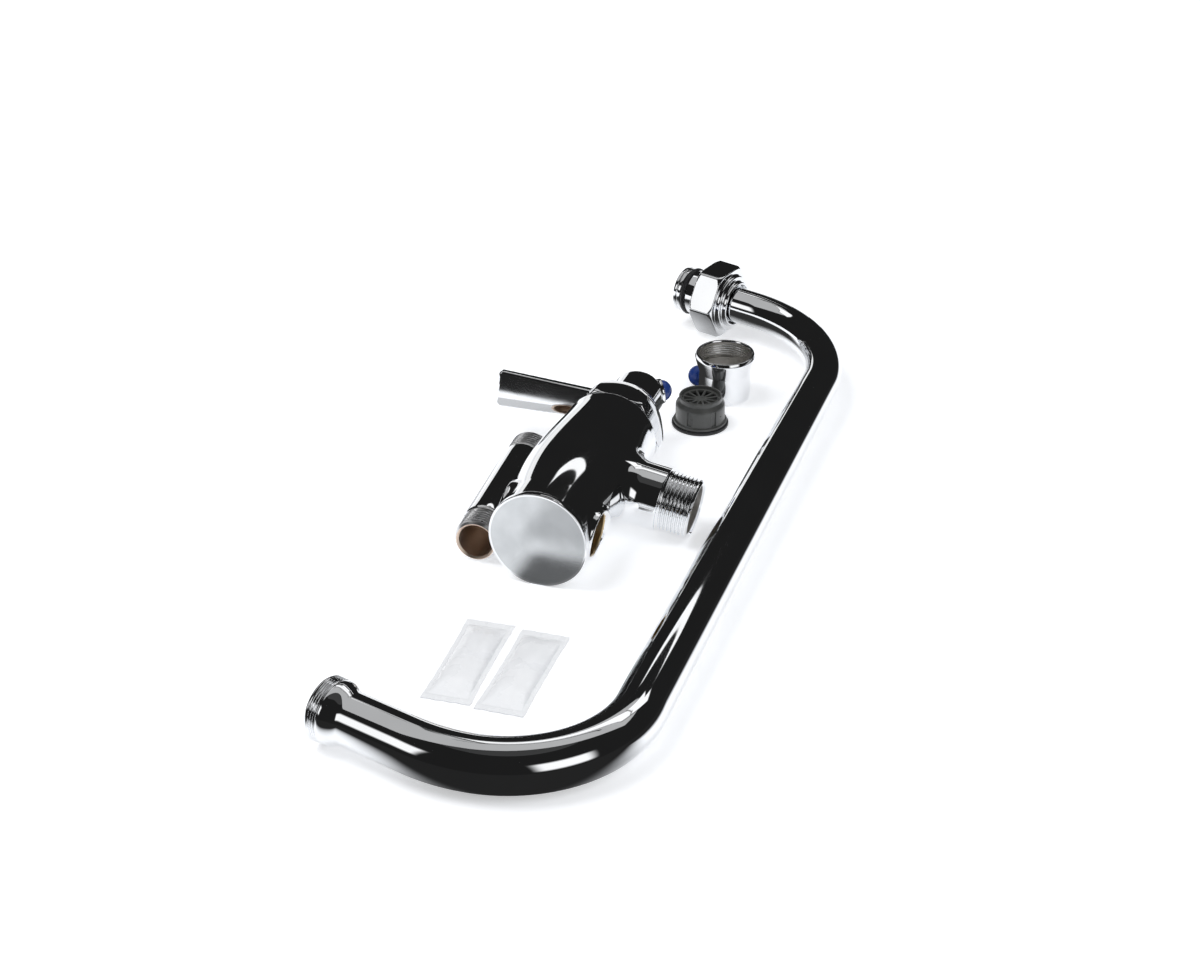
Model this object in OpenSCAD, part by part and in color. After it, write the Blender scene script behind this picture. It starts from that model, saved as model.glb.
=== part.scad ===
// Pre rinse add-on faucet, laid out as a kit: the valve with its lever, the swing spout with
// its swivel nut, a riser nipple, an aerator shell with its insert, and two lubricant sachets.
// Millimetres, +Z up. The floor is z = 0 and the origin is the middle of the kit's footprint.
// The valve axis and the long run of the spout both lie along +Y.

/* [Valve body] */
// Radius of the turned disk that closes the back of the valve
disk_r = 18; // [17:0.1:19]
// Thickness of that disk
disk_t = 2.8; // [2:0.1:4]
// Body radius just behind the disk
neck_r = 16.6; // [15:0.1:17]
// Body radius at its belly, seen from the side
belly_r = 17.6; // [16.5:0.1:17.8]
// Distance from the disk face to the belly
belly_at = 44; // [35:1:50]
// How far the belly swells sideways, towards the outlet and away from it
belly_swell = 2.8; // [0:0.1:4]
// Body radius under the bonnet nut
crown_r = 17.8; // [17:0.1:17.9]
// Length of the body from the disk face to the bonnet seat
body_len = 80; // [76:1:86]
// Radius of the cartridge chamber
chamber_r = 12; // [11.5:0.1:13]
// Distance from the disk face to the valve seat
seat_at = 33; // [31:0.5:34]
// Radius of the waterway between riser chamber and seat
waterway_r = 5.5; // [4:0.1:6]

/* [Riser ports] */
// Distance from the disk face to the riser axis
port_at = 14.4; // [14:0.1:16]
// Distance of each port face from the valve axis
port_reach = 17.5; // [17.2:0.1:20]
// Outside radius of a port boss
port_boss_r = 9.2; // [9:0.1:10]
// Bore radius of a port before tapping, 3/8 in pipe thread
port_bore_r = 7.55; // [7.2:0.05:7.8]
// Depth of the tapped bore
port_depth = 11; // [9:0.5:11.5]
// Radius of the chamfer at a port's mouth
port_mouth_r = 8.4; // [8.2:0.1:8.6]

/* [Spout outlet] */
// Distance from the disk face to the outlet axis
outlet_at = 48.8; // [46:0.1:52]
// Distance of the outlet's end from the valve axis
outlet_reach = 43; // [40:0.5:48]
// Radius of the plain neck of the outlet
outlet_neck_r = 11.7; // [11.4:0.1:12.5]
// Major radius of the outlet thread, 7/8 in
swivel_thread_r = 11.1; // [10.9:0.05:11.3]
// Length of the outlet thread
swivel_thread_len = 12; // [8:0.5:13]
// Radius of the outlet waterway
outlet_bore_r = 6.5; // [5:0.1:7]
// Depth of the socket that takes the spout plug
socket_depth = 18.6; // [18.2:0.1:20]

/* [Bonnet nut] */
// Width across the flats of the bonnet nut
bonnet_flats = 33; // [31:0.5:33.5]
// Height of the nut
bonnet_h = 15.6; // [14:0.1:17]
// Height at which the nut's corners start to round off
bonnet_edge_h = 9.4; // [7:0.1:11]
// Radius of the nut's top face
bonnet_top_r = 14.5; // [12:0.1:15]
// Major radius of the thread between body and nut
bonnet_thread_r = 14.5; // [14:0.1:15]
// Length of that thread
bonnet_thread_len = 8; // [6:0.5:9]

/* [Cartridge] */
// Radius of the cartridge barrel
barrel_r = 10.4; // [10:0.1:11]
// Wall of the cartridge barrel
barrel_wall = 1.8; // [1.5:0.1:2.2]
// Thickness of the clamped flange
flange_t = 2.4; // [2:0.1:3]
// Thickness of each ceramic disc
disc_t = 3; // [2.5:0.1:3.5]
// Thickness of the rubber seat seal
seal_t = 2; // [1.5:0.1:2.5]
// Radius of the stem
stem_r = 4; // [3.5:0.1:4.5]
// Side of the square end that drives the lever
stem_square = 5.4; // [4.8:0.1:5.6]
// Radius of the rubber cord in the stem seals
stem_ring_cord_r = 0.8; // [0.7:0.05:0.9]
// Thickness of the snap ring on the stem
clip_t = 1; // [0.8:0.1:1.2]

/* [Lever] */
// Distance from the bonnet to the lever's near face
lever_gap = 1; // [0.6:0.1:2]
// Distance of the lever's tip from the valve axis
lever_len = 52; // [45:1:60]
// Width of the lever at its tip
lever_tip_w = 14; // [12:0.5:20]
// Width of the lever at the valve axis
lever_root_w = 10; // [9:0.5:14]
// Thickness of the lever along its thick edge
lever_t = 5; // [4.5:0.1:7]
// Thickness of the lever along its thin edge
lever_thin_t = 2; // [1.5:0.1:3]
// Width of the flat band beside the thick edge
lever_band_w = 2.7; // [2:0.1:4]
// Radius of the lever's tip corners
lever_corner_r = 1.8; // [1.5:0.1:4]
// Radius of the hub
hub_r = 9.9; // [9.4:0.1:10.5]
// Height of the hub
hub_h = 20.5; // [20:0.5:24]
// Radius of the hub's rounded shoulder
hub_round_r = 3.4; // [2:0.1:4]
// Angle between the closed lever and the line opposite the outlet
lever_rest_angle = 8; // [0:1:12]
// Tilt of the index button from the valve axis
button_tilt = 60; // [50:1:70]
// Turn of the index button round the hub, from the line of the lever
button_turn = 10; // [0:1:15]
// Radius of the index button
button_r = 4.1; // [3.8:0.1:4.5]
// Height of the button's dome
button_dome_h = 3.4; // [2:0.1:4]
// Distance of the button's seat from the hub's middle
button_reach = 9.8; // [9:0.1:11]

/* [Swing spout] */
// Distance between the two legs of the spout, square across
spout_swing = 317.5; // [254:0.1:356]
// Turn of the large bend at the outlet, in degrees
big_turn = 105.8; // [95:0.5:115]
// Share of that turn that the bend's easy entry takes, in degrees
entry_turn = 18.8; // [0:0.2:30]
// Centre radius of the easy entry
entry_bend_r = 58; // [40:1:70]
// Centre radius of the large bend
big_bend_r = 43.6; // [40:0.1:60]
// Centre radius of the small bend at the inlet
small_bend_r = 56; // [40:1:60]
// Tube radius from the outlet to the end of the large bend
tube_out_r = 9.15; // [9:0.05:9.5]
// Tube radius at the inlet
tube_in_r = 7.4; // [6.8:0.05:7.5]
// Tube wall
tube_wall = 1.25; // [1:0.05:1.5]
// Straight length of the outlet leg, ferrule included
outlet_leg = 34; // [30:1:60]
// Straight length of the inlet leg that shows behind the swivel nut
inlet_leg = 8.3; // [6:0.1:30]
// Major radius of the aerator thread, 55/64 in
aerator_thread_r = 10.9; // [10.7:0.05:11]
// Length of the aerator thread
aerator_thread_len = 4.6; // [4:0.1:6]
// Length of the bell that widens the tube to the thread
bell_len = 7; // [6:0.5:12]

/* [Swivel] */
// Radius of the plug that enters the valve's outlet
plug_r = 9.2; // [9:0.05:9.3]
// Length of the plug in front of its shoulder
plug_len = 18; // [16:0.1:18.2]
// Length of the plug's end ring in front of the rubber ring
plug_land = 3.6; // [3:0.1:4]
// Cord radius of the plug's rubber ring
plug_ring_cord_r = 1.2; // [1:0.05:1.3]
// Depth of the groove that holds it
plug_groove = 1.8; // [1.6:0.05:1.9]
// Radius of the shoulder and its slip washer
shoulder_r = 9.9; // [9.6:0.05:10]
// Thickness of the shoulder
shoulder_t = 2.4; // [2:0.1:3]
// Thickness of the loose slip washer
slip_t = 1.2; // [1:0.1:1.5]
// Radius of the sleeve that is soldered on the tube
sleeve_r = 8.3; // [8.1:0.05:8.5]
// Width across the flats of the swivel nut
nut_flats = 27; // [25:0.1:28]
// Length of the nut's hexagon
nut_hex_len = 11; // [10:0.5:13]
// Length of the nut's round collar
nut_collar_len = 1.8; // [1.5:0.1:4]
// Radius of that collar
nut_collar_r = 11.7; // [10.5:0.1:12]
// Length of the nut's smaller neck behind the collar
nut_neck_len = 2; // [1.5:0.1:4]
// Radius of that neck
nut_neck_r = 9.5; // [9.3:0.1:10]
// Minor radius of the nut's thread
nut_thread_r = 10.45; // [10.3:0.05:10.6]
// Thickness of the nut's rear wall
nut_wall = 0.6; // [0.5:0.1:1]

/* [Riser nipple] */
// Length of the nipple
nipple_len = 69.9; // [60:0.1:100]
// Outside radius, 3/8 in pipe
nipple_r = 8.35; // [8.3:0.05:8.6]
// Radius over the pipe thread
nipple_thread_r = 8; // [8:0.05:8.2]
// Length of each thread
nipple_thread_len = 11; // [9:0.5:14]
// Bore radius
nipple_bore_r = 6.25; // [5.5:0.05:6.5]
// Radius of the bore's chamfered mouth
nipple_mouth_r = 6.9; // [6.6:0.05:7.2]

/* [Aerator] */
// Height of the aerator shell
shell_h = 19; // [17:0.5:22]
// Radius of the shell's lip
shell_lip_r = 11.75; // [11.6:0.05:12.2]
// Radius of the shell's plain skirt
shell_skirt_r = 10.3; // [10.2:0.05:10.8]
// Height at which the shell starts to widen
shell_step_at = 11.4; // [10:0.1:13]
// Minor radius of the shell's thread
shell_thread_r = 10.45; // [10.3:0.05:10.6]
// Bore radius of the skirt
shell_bore_r = 9.7; // [9.6:0.05:9.8]
// Radius of the hole in the shell's bottom lip
shell_hole_r = 8.4; // [8:0.1:9]
// Height of the aerator insert
insert_h = 11; // [10:0.5:14]
// Radius of the insert's flange
insert_flange_r = 10.35; // [10.2:0.05:10.4]
// Radius of the insert's drum
insert_r = 9.55; // [9.2:0.05:9.6]
// Radius of the ring on top of the insert
insert_ring_r = 7.9; // [7.5:0.1:8.5]
// Number of spokes in the insert
spokes = 12; // [8:1:16]
// Radius of the rubber washer under the insert
washer_r = 11; // [10.8:0.05:11.1]
// Thickness of the washer
washer_t = 1.4; // [1:0.1:2]

/* [Lubricant sachets] */
// Width of a sachet
sachet_w = 17; // [14:0.5:24]
// Length of a sachet
sachet_len = 49; // [40:1:60]
// Thickness of a filled sachet
sachet_t = 3.2; // [2:0.1:5]
// Width of the sealed margin
sachet_seal = 3; // [2:0.5:5]
// Thickness of the sealed margin
sachet_film_t = 0.6; // [0.4:0.1:1]

/* [Layout, from the middle of the valve's disk] */
// Middle of the kit's footprint
kit_middle = [8.69, 52.16]; // [-50:0.1:80]
// Middle of the spout's outlet
spout_at = [-32.5, -105.7]; // [-150:0.1:0]
// Middle of the nipple's front end
nipple_at = [-25.9, 7.4]; // [-60:0.1:60]
// Heading of the nipple
nipple_heading = 93.2; // [88:0.1:100]
// Middle of the aerator shell
shell_at = [21.9, 157.3]; // [0:0.1:200]
// Middle of the aerator insert
insert_at = [19.5, 131.8]; // [0:0.1:200]
// Middle of the first sachet
sachet_a_at = [-5.6, -52]; // [-80:0.1:0]
// Middle of the second sachet
sachet_b_at = [13.6, -52.5]; // [-80:0.1:40]
// Headings of the two sachets
sachet_headings = [2.8, 1.2]; // [-30:0.1:30]
// Middle of the spare index button
spare_button_at = [9, 162.5]; // [0:0.1:200]

/* [Hidden] */
$fn = 96;
eps = 0.02;
play = 0.05;
seat_gap = 0.05;
groove_play = 0.1;
sleeve_short = 1.5;
plug_bevel = 0.4;
rim_bevel = 0.4;
lap = 0.3;
lap_skin = 0.05;
rest_lift = 0.11;
body_gap = 0.3;
over = 1;
disk_bevel = 0.7;
disk_back_bevel = 0.6;
crown_bevel = 0.8;
swell_sink = 0.1;
swell_end = 4;
socket_bevel = 0.8;
belly_steps = 14;
guide_rise = 14;
ring_rises = [9, 14];
housing_ring_drop = 6;
neck_inset = 0.6;
carrier_port_r = 2;
carrier_port_shift = 1.2;
port_ease = 0.4;
clip_depth = 0.8;
clip_play = 0.02;
clip_rim = 1.4;
clip_slot = 2.4;
bonnet_foot = [1.2, 0.8];
bonnet_round = [0.6, 0.8];
stem_over_hub = 2;
screw_gap = 1;
screw_hex_r = 1.3;
screw_hex_depth = 2;
lever_wedge_over = 5;
button_sink = 1;
hex_bevel = 1;
hex_bevel_share = 0.6;
nipple_bevel = 0.9;
nipple_chamfer_len = 1;
nipple_step = 0.3;
shell_foot = 0.4;
shell_floor = 1;
shell_rise = 0.8;
shell_lip_bevel = 0.3;
shell_lip_h = 1.6;
housing_flange_h = 1.1;
ring_rise = 2.2;
ring_wall = 0.4;
shoulder_bevel = [1, 0.8];
notch = [0.5, 1.8, 1.6];
notches = 6;
notch_turn = 20;
disc_drop = 2.4;
disc_h = 1.2;
disc_rim = 1;
disc_hub_r = 2;
spoke_w = 0.8;
screen_at = [3, 5.5];
screen_h = 0.5;
bell_steps = 8;

// Derived sizes of the valve
roll = asin(disk_r / norm([outlet_reach, swivel_thread_r])) - atan(swivel_thread_r / outlet_reach);
socket_r = plug_r + play;
barrel_at = seat_at;
fixed_disc_at = seat_at + seal_t;
moving_disc_at = fixed_disc_at + disc_t + seat_gap;
carrier_at = moving_disc_at + disc_t;
carrier_h = 5;
disc_r = barrel_r - barrel_wall - play;
port_window = [4.2, 3.6];
guide_at = carrier_at + carrier_h + guide_rise;
bonnet_at = body_len + groove_play;
bonnet_top = bonnet_at + bonnet_h;
flange_at = body_len + bonnet_thread_len;
flange_r = bonnet_thread_r - 0.7;
neck_top = bonnet_top - neck_inset;
housing_neck_r = stem_r + 2.4;
housing_cord_r = 1.1;
housing_ring_r = chamber_r - housing_cord_r - play;
housing_groove_r = housing_ring_r - housing_cord_r - play;
housing_ring_at = flange_at - housing_ring_drop;
window_at = carrier_at + carrier_h + 5;
window_w = 8;
window_h = 9;
ring_groove = 2 * stem_ring_cord_r + 2 * groove_play;
ring_groove_r = stem_r - 2 * stem_ring_cord_r;
ring_places = [for (rise = ring_rises) guide_at + rise];
clip_at = neck_top + play;
lever_at = bonnet_top + lever_gap;
hub_middle = 16.5;
lever_face = 1.6;
stem_top = lever_at + hub_middle + stem_over_hub;
set_screw_r = 2.5;
set_screw_len = 4.5;
button_boss_r = button_r + 0.8;
button_pin_r = 1;
button_pin_h = 2;
band_turn = atan((lever_tip_w - lever_root_w) / 2 / lever_len);

// Derived sizes of the spout, whose centre line starts at its outlet along +X
small_turn = 180 - big_turn;
leg_heading = 90 - big_turn;
run_len = (spout_swing - entry_bend_r * (1 - cos(entry_turn))
           - big_bend_r * (cos(entry_turn) - cos(big_turn)) - small_bend_r * (1 + cos(big_turn)))
          / sin(big_turn);
entry_at = [outlet_leg, 0];
big_bend_at = entry_at + entry_bend_r * [sin(entry_turn), 1 - cos(entry_turn)];
run_at = big_bend_at
         + big_bend_r * [sin(big_turn) - sin(entry_turn), cos(entry_turn) - cos(big_turn)];
small_bend_at = run_at + run_len * [cos(big_turn), sin(big_turn)];
inlet_at = small_bend_at + small_bend_r * [-sin(big_turn), 1 + cos(big_turn)];
nut_apothem = nut_flats / 2;
tube_bore_r = tube_in_r - tube_wall;
nut_len = nut_hex_len + nut_collar_len + nut_neck_len;
nut_stem = nut_wall + nut_collar_len + nut_neck_len;
nut_back = -slip_t - 2 * seat_gap - nut_stem;
inlet_total = inlet_leg - nut_back;
sleeve_len = slip_t + nut_stem - sleeve_short;
groove_r = plug_r - plug_groove;
groove_w = 2 * plug_ring_cord_r + 2 * groove_play;
plug_ring_at = shoulder_t + plug_len - plug_land - groove_w / 2;

// Three resting points, turned to the layout and relative to the outlet
function laid(v) = [v[0] * cos(leg_heading) - v[1] * sin(leg_heading),
                    v[0] * sin(leg_heading) + v[1] * cos(leg_heading)];
outlet_z = aerator_thread_r + rest_lift;
bend_place = laid(run_at);
nut_place = laid(inlet_at - [inlet_total, 0]);
bend_rise = tube_out_r + 2 * lap_skin + rest_lift - outlet_z;
nut_rise = nut_apothem + rest_lift - outlet_z;
rest_det = bend_place[0] * nut_place[1] - nut_place[0] * bend_place[1];
lean_x = atan((bend_rise * nut_place[1] - nut_rise * bend_place[1]) / rest_det);
lean_y = atan((bend_place[0] * nut_rise - nut_place[0] * bend_rise) / rest_det);

// A ring with a round section, as an O-ring is
module o_ring(ring_r, cord_r) {
  rotate_extrude() translate([ring_r, 0]) circle(cord_r, $fn = 32);
}

// A tube length with its own radii at both ends
module tube_length(r1, r2, h, wall) {
  difference() {
    cylinder(h = h, r1 = r1, r2 = r2);
    translate([0, 0, -eps]) cylinder(h = h + 2 * eps, r1 = r1 - wall, r2 = r2 - wall);
  }
}

// A tube bend that starts at the origin along +X and turns left in the XY plane
module tube_bend(bend_r, turn, r, wall) {
  translate([0, bend_r, 0]) rotate(-90)
    rotate_extrude(angle = turn) translate([bend_r, 0]) difference() {
      circle(r);
      circle(r - wall);
    }
}

// A hexagonal prism with turned corners
module hex_prism(flats, h, bevel) {
  corner_r = flats / sqrt(3);
  intersection() {
    cylinder(h = h, r = corner_r, $fn = 6);
    rotate_extrude() polygon([
      [0, 0], [corner_r - bevel, 0], [corner_r, bevel * hex_bevel_share],
      [corner_r, h - bevel * hex_bevel_share], [corner_r - bevel, h], [0, h]]);
  }
}

// Valve frame: local +Z is the valve axis from the disk, local +X is the outlet
module valve_frame() {
  translate([-kit_middle[0], -kit_middle[1], disk_r])
    rotate([0, roll, 0]) rotate([-90, 0, 0]) children();
}

// Belly profile: full at belly_at and falling to the given end radii
function belly(s, top) = s < belly_at
  ? top - (belly_r - neck_r) * pow((belly_at - s) / (belly_at - disk_t), 2)
  : top + (crown_r - belly_r) * pow((s - belly_at) / (body_len - belly_at), 2);

module valve_outline() {
  steps = belly_steps;
  span = body_len - disk_t - crown_bevel;
  rotate_extrude() polygon(concat(
    [[0, 0], [disk_r - disk_bevel, 0], [disk_r, disk_bevel], [disk_r, disk_t - disk_back_bevel],
     [disk_r - disk_back_bevel, disk_t]],
    [for (i = [0 : steps]) let (s = disk_t + crown_bevel + span * i / steps)
      [belly(s, belly_r), s - eps * i]],
    [[crown_r - crown_bevel, body_len], [0, body_len]]));
  // The belly's two sideways swells, which sink into the round body towards both ends
  for (side = [-1, 1]) translate([side * belly_swell, 0, 0]) rotate_extrude() polygon(concat(
    [[0, port_at]],
    [for (i = [0 : steps]) let (t = i / steps, s = port_at + (body_len - port_at - swell_end) * t)
      [belly(s, belly_r) - belly_swell * pow(2 * t - 1, 2) - swell_sink, s]],
    [[0, body_len - swell_end]]));
  cylinder(h = body_len + bonnet_thread_len, r = bonnet_thread_r);
}

module valve_body() {
  color("silver") valve_frame() difference() {
    union() {
      valve_outline();
      for (side = [-90, 90])
        translate([0, 0, port_at]) rotate([0, side, 0]) cylinder(h = port_reach, r = port_boss_r);
      translate([0, 0, outlet_at]) rotate([0, 90, 0]) {
        cylinder(h = outlet_reach - swivel_thread_len, r = outlet_neck_r);
        cylinder(h = outlet_reach, r = swivel_thread_r);
      }
    }
    // Riser chamber with its two tapped ports
    for (side = [-90, 90]) translate([0, 0, port_at]) rotate([0, side, 0]) {
      translate([0, 0, port_reach - port_depth]) cylinder(h = port_depth + over, r = port_bore_r);
      translate([0, 0, port_reach - (port_mouth_r - port_bore_r)])
        cylinder(h = port_mouth_r - port_bore_r + eps, r1 = port_bore_r, r2 = port_mouth_r + eps);
      cylinder(h = port_reach - port_depth + eps, r = waterway_r);
    }
    // Waterway up to the seat, and the cartridge chamber
    translate([0, 0, port_at]) cylinder(h = seat_at - port_at + over, r = waterway_r);
    translate([0, 0, seat_at]) cylinder(h = body_len, r = chamber_r);
    // Outlet waterway and the socket for the spout's plug
    translate([0, 0, outlet_at]) rotate([0, 90, 0]) {
      cylinder(h = outlet_reach + over, r = outlet_bore_r);
      translate([0, 0, outlet_reach - socket_depth]) cylinder(h = socket_depth + over, r = socket_r);
      translate([0, 0, outlet_reach - socket_bevel])
        cylinder(h = socket_bevel + eps, r1 = socket_r, r2 = socket_r + socket_bevel);
    }
  }
}

module bonnet_nut() {
  corner_r = bonnet_flats / sqrt(3);
  color("silver") valve_frame() translate([0, 0, bonnet_at]) difference() {
    intersection() {
      cylinder(h = bonnet_h, r = corner_r, $fn = 6);
      rotate_extrude() polygon([
        [0, 0], [corner_r - bonnet_foot[0], 0], [corner_r, bonnet_foot[1]],
        [corner_r, bonnet_edge_h],
        [(corner_r + bonnet_top_r) / 2 + bonnet_round[0],
         (bonnet_edge_h + bonnet_h) / 2 + bonnet_round[1]],
        [bonnet_top_r, bonnet_h], [0, bonnet_h]]);
    }
    translate([0, 0, -eps])
      cylinder(h = flange_at + flange_t - bonnet_at + eps, r = bonnet_thread_r + play);
    cylinder(h = bonnet_h + over, r = housing_neck_r + body_gap);
  }
}

module cartridge_housing() {
  color("goldenrod") valve_frame() difference() {
    union() {
      translate([0, 0, fixed_disc_at]) cylinder(h = flange_at - fixed_disc_at, r = barrel_r);
      translate([0, 0, flange_at]) cylinder(h = flange_t, r = flange_r);
      translate([0, 0, flange_at]) cylinder(h = neck_top - flange_at, r = housing_neck_r);
    }
    // Disc room, and the stem's bore above it
    translate([0, 0, barrel_at]) cylinder(h = guide_at - barrel_at, r = barrel_r - barrel_wall);
    translate([0, 0, guide_at - over]) cylinder(h = neck_top, r = stem_r + play);
    // Side windows that let the water out to the outlet
    for (side = [0, 90]) translate([0, 0, window_at]) rotate(side)
      cube([2 * barrel_r + 2 * over, window_w, window_h], center = true);
    // Groove for the housing's rubber ring
    translate([0, 0, housing_ring_at - housing_cord_r]) difference() {
      cylinder(h = 2 * housing_cord_r, r = barrel_r + over);
      translate([0, 0, -over]) cylinder(h = 2 * housing_cord_r + 2 * over, r = housing_groove_r);
    }
  }
}

module housing_o_ring() {
  color("dimgray") valve_frame()
    translate([0, 0, housing_ring_at]) o_ring(housing_ring_r, housing_cord_r);
}

module seat_seal() {
  color("dimgray") valve_frame() translate([0, 0, seat_at]) difference() {
    cylinder(h = seal_t, r = barrel_r);
    translate([0, 0, -over]) cylinder(h = seal_t + 2 * over, r = waterway_r);
  }
}

module disc_ports() {
  for (side = [0, 180]) rotate(side) translate([port_window[0], 0, -over])
    cylinder(h = disc_t + 2 * over, r = port_window[1] / 2 + port_ease);
}

module fixed_ceramic_disc() {
  color("white") valve_frame() translate([0, 0, fixed_disc_at]) difference() {
    cylinder(h = disc_t, r = disc_r);
    disc_ports();
  }
}

module moving_ceramic_disc() {
  color("whitesmoke") valve_frame() translate([0, 0, moving_disc_at]) difference() {
    cylinder(h = disc_t, r = disc_r);
    rotate(90) disc_ports();
  }
}

module cartridge_stem() {
  color("gold") valve_frame() difference() {
    union() {
      translate([0, 0, carrier_at]) cylinder(h = carrier_h, r = disc_r);
      translate([0, 0, carrier_at]) cylinder(h = lever_at - carrier_at, r = stem_r);
      translate([0, 0, lever_at - over]) rotate(-lever_rest_angle)
        translate([-stem_square / 2, -stem_square / 2, 0])
        cube([stem_square, stem_square, stem_top - lever_at + over]);
    }
    // Water passages through the carrier, in line with the moving disc's ports
    translate([0, 0, carrier_at]) for (side = [90, 270]) rotate(side)
      translate([port_window[0] + carrier_port_shift, 0, -over])
      cylinder(h = carrier_h + 2 * over, r = carrier_port_r);
    // Grooves for the rubber rings and the snap ring
    for (z = ring_places) translate([0, 0, z - ring_groove / 2]) difference() {
      cylinder(h = ring_groove, r = stem_r + over);
      translate([0, 0, -over]) cylinder(h = ring_groove + 2 * over, r = ring_groove_r);
    }
    translate([0, 0, clip_at - eps]) difference() {
      cylinder(h = clip_t + 2 * eps, r = stem_r + over);
      translate([0, 0, -over]) cylinder(h = clip_t + 3 * over, r = stem_r - clip_depth);
    }
    // Dimple for the set screw's tip
    translate([0, 0, lever_at + hub_middle]) rotate(-lever_rest_angle - button_turn)
      rotate([0, button_tilt, 0]) translate([0, 0, stem_square / 2 + screw_gap - play])
      cylinder(h = set_screw_len, r = set_screw_r + play);
  }
}

module stem_o_rings() {
  color("dimgray") valve_frame() for (z = ring_places)
    translate([0, 0, z]) o_ring(stem_r - stem_ring_cord_r + eps, stem_ring_cord_r);
}

module stem_clip() {
  color("lightgray") valve_frame() translate([0, 0, clip_at]) difference() {
    cylinder(h = clip_t, r = stem_r + clip_rim);
    translate([0, 0, -over]) cylinder(h = clip_t + 2 * over, r = stem_r - clip_depth + clip_play);
    translate([0, -clip_slot / 2, -over]) cube([stem_r + 2 * clip_rim, clip_slot, clip_t + 2 * over]);
  }
}

// Places its children on the index button's axis, local +Z outwards from the hub's middle
module button_frame() {
  valve_frame() translate([0, 0, lever_at + hub_middle])
    rotate(-lever_rest_angle - button_turn) rotate([0, button_tilt, 0]) children();
}

// The lever seen along the valve axis, pointing along -X
module lever_plan() {
  tip = lever_len - lever_corner_r;
  half_tip = lever_tip_w / 2;
  polygon([
    [0, -lever_root_w / 2], [0, lever_root_w / 2], [-tip, half_tip],
    [-lever_len, half_tip - lever_corner_r], [-lever_len, lever_corner_r - half_tip],
    [-tip, -half_tip]]);
  for (side = [-1, 1]) translate([-tip, side * (half_tip - lever_corner_r)]) circle(lever_corner_r);
}

// The lever's wedge section, thick along the +Y edge, swept along that edge
module lever_wedge() {
  edge = lever_root_w / 2;
  translate([0, edge, 0]) rotate(-band_turn) rotate([90, 0, -90])
    linear_extrude(height = lever_len + lever_wedge_over) polygon([
      [-lever_wedge_over, 0], [lever_band_w, 0], [lever_tip_w + 2 * over, lever_t - lever_thin_t],
      [lever_tip_w + 2 * over, lever_t], [-lever_wedge_over, lever_t]]);
}

module lever_handle() {
  color("silver") difference() {
    union() {
      valve_frame() translate([0, 0, lever_at]) rotate(-lever_rest_angle) {
        rotate_extrude() polygon(concat(
          [[0, 0], [hub_r, 0]],
          [for (i = [0 : 6]) let (a = i * 15)
            [hub_r - hub_round_r * (1 - cos(a)), hub_h - hub_round_r * (1 - sin(a))]],
          [[0, hub_h]]));
        translate([0, 0, lever_face]) intersection() {
          linear_extrude(height = lever_t) lever_plan();
          lever_wedge();
        }
      }
      button_frame() cylinder(h = button_reach, r = button_boss_r);
    }
    // Square socket for the stem, and the stepped pocket for set screw and button
    valve_frame() translate([0, 0, lever_at - over]) rotate(-lever_rest_angle)
      translate([-stem_square / 2 - play, -stem_square / 2 - play, 0])
      cube([stem_square + 2 * play, stem_square + 2 * play, stem_top - lever_at + over + play]);
    button_frame() {
      cylinder(h = button_reach + over, r = set_screw_r);
      translate([0, 0, button_reach - button_sink]) cylinder(h = button_sink + over, r = button_r + play);
    }
  }
}

module handle_set_screw() {
  tip_at = stem_square / 2 + screw_gap;
  color("dimgray") button_frame() translate([0, 0, tip_at]) difference() {
    cylinder(h = set_screw_len, r = set_screw_r);
    translate([0, 0, set_screw_len - screw_hex_depth])
      cylinder(h = screw_hex_depth + over, r = screw_hex_r, $fn = 6);
  }
}

// A domed button with the pin that snaps into its seat, local +Z through the dome
module domed_button() {
  dome_r = (button_r * button_r + button_dome_h * button_dome_h) / (2 * button_dome_h);
  intersection() {
    translate([0, 0, button_dome_h - dome_r]) sphere(dome_r);
    cylinder(h = button_dome_h + over, r = button_r);
  }
  translate([0, 0, -button_sink]) cylinder(h = button_sink + eps, r = button_r);
  translate([0, 0, -button_sink - button_pin_h]) cylinder(h = button_pin_h + eps, r = button_pin_r);
}

module index_button() {
  color("royalblue") button_frame() translate([0, 0, button_reach]) domed_button();
}

module spare_index_button() {
  color("royalblue")
    translate([spare_button_at[0] - kit_middle[0], spare_button_at[1] - kit_middle[1], button_r])
    rotate([0, -90, 15]) domed_button();
}

// Spout frame: the tube's centre line lies in the local XY plane with the outlet at the origin,
// and the spout leans so that its outlet, its big bend and its swivel nut all touch the floor
module spout_frame() {
  translate([spout_at[0] - kit_middle[0], spout_at[1] - kit_middle[1], outlet_z])
    rotate([lean_y, -lean_x, 0]) children();
}

// A place on the tube's centre line, with local +X along the tube
module on_tube(place, heading) {
  spout_frame() rotate(leg_heading) translate([place[0], place[1], 0]) rotate(heading) children();
}

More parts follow.
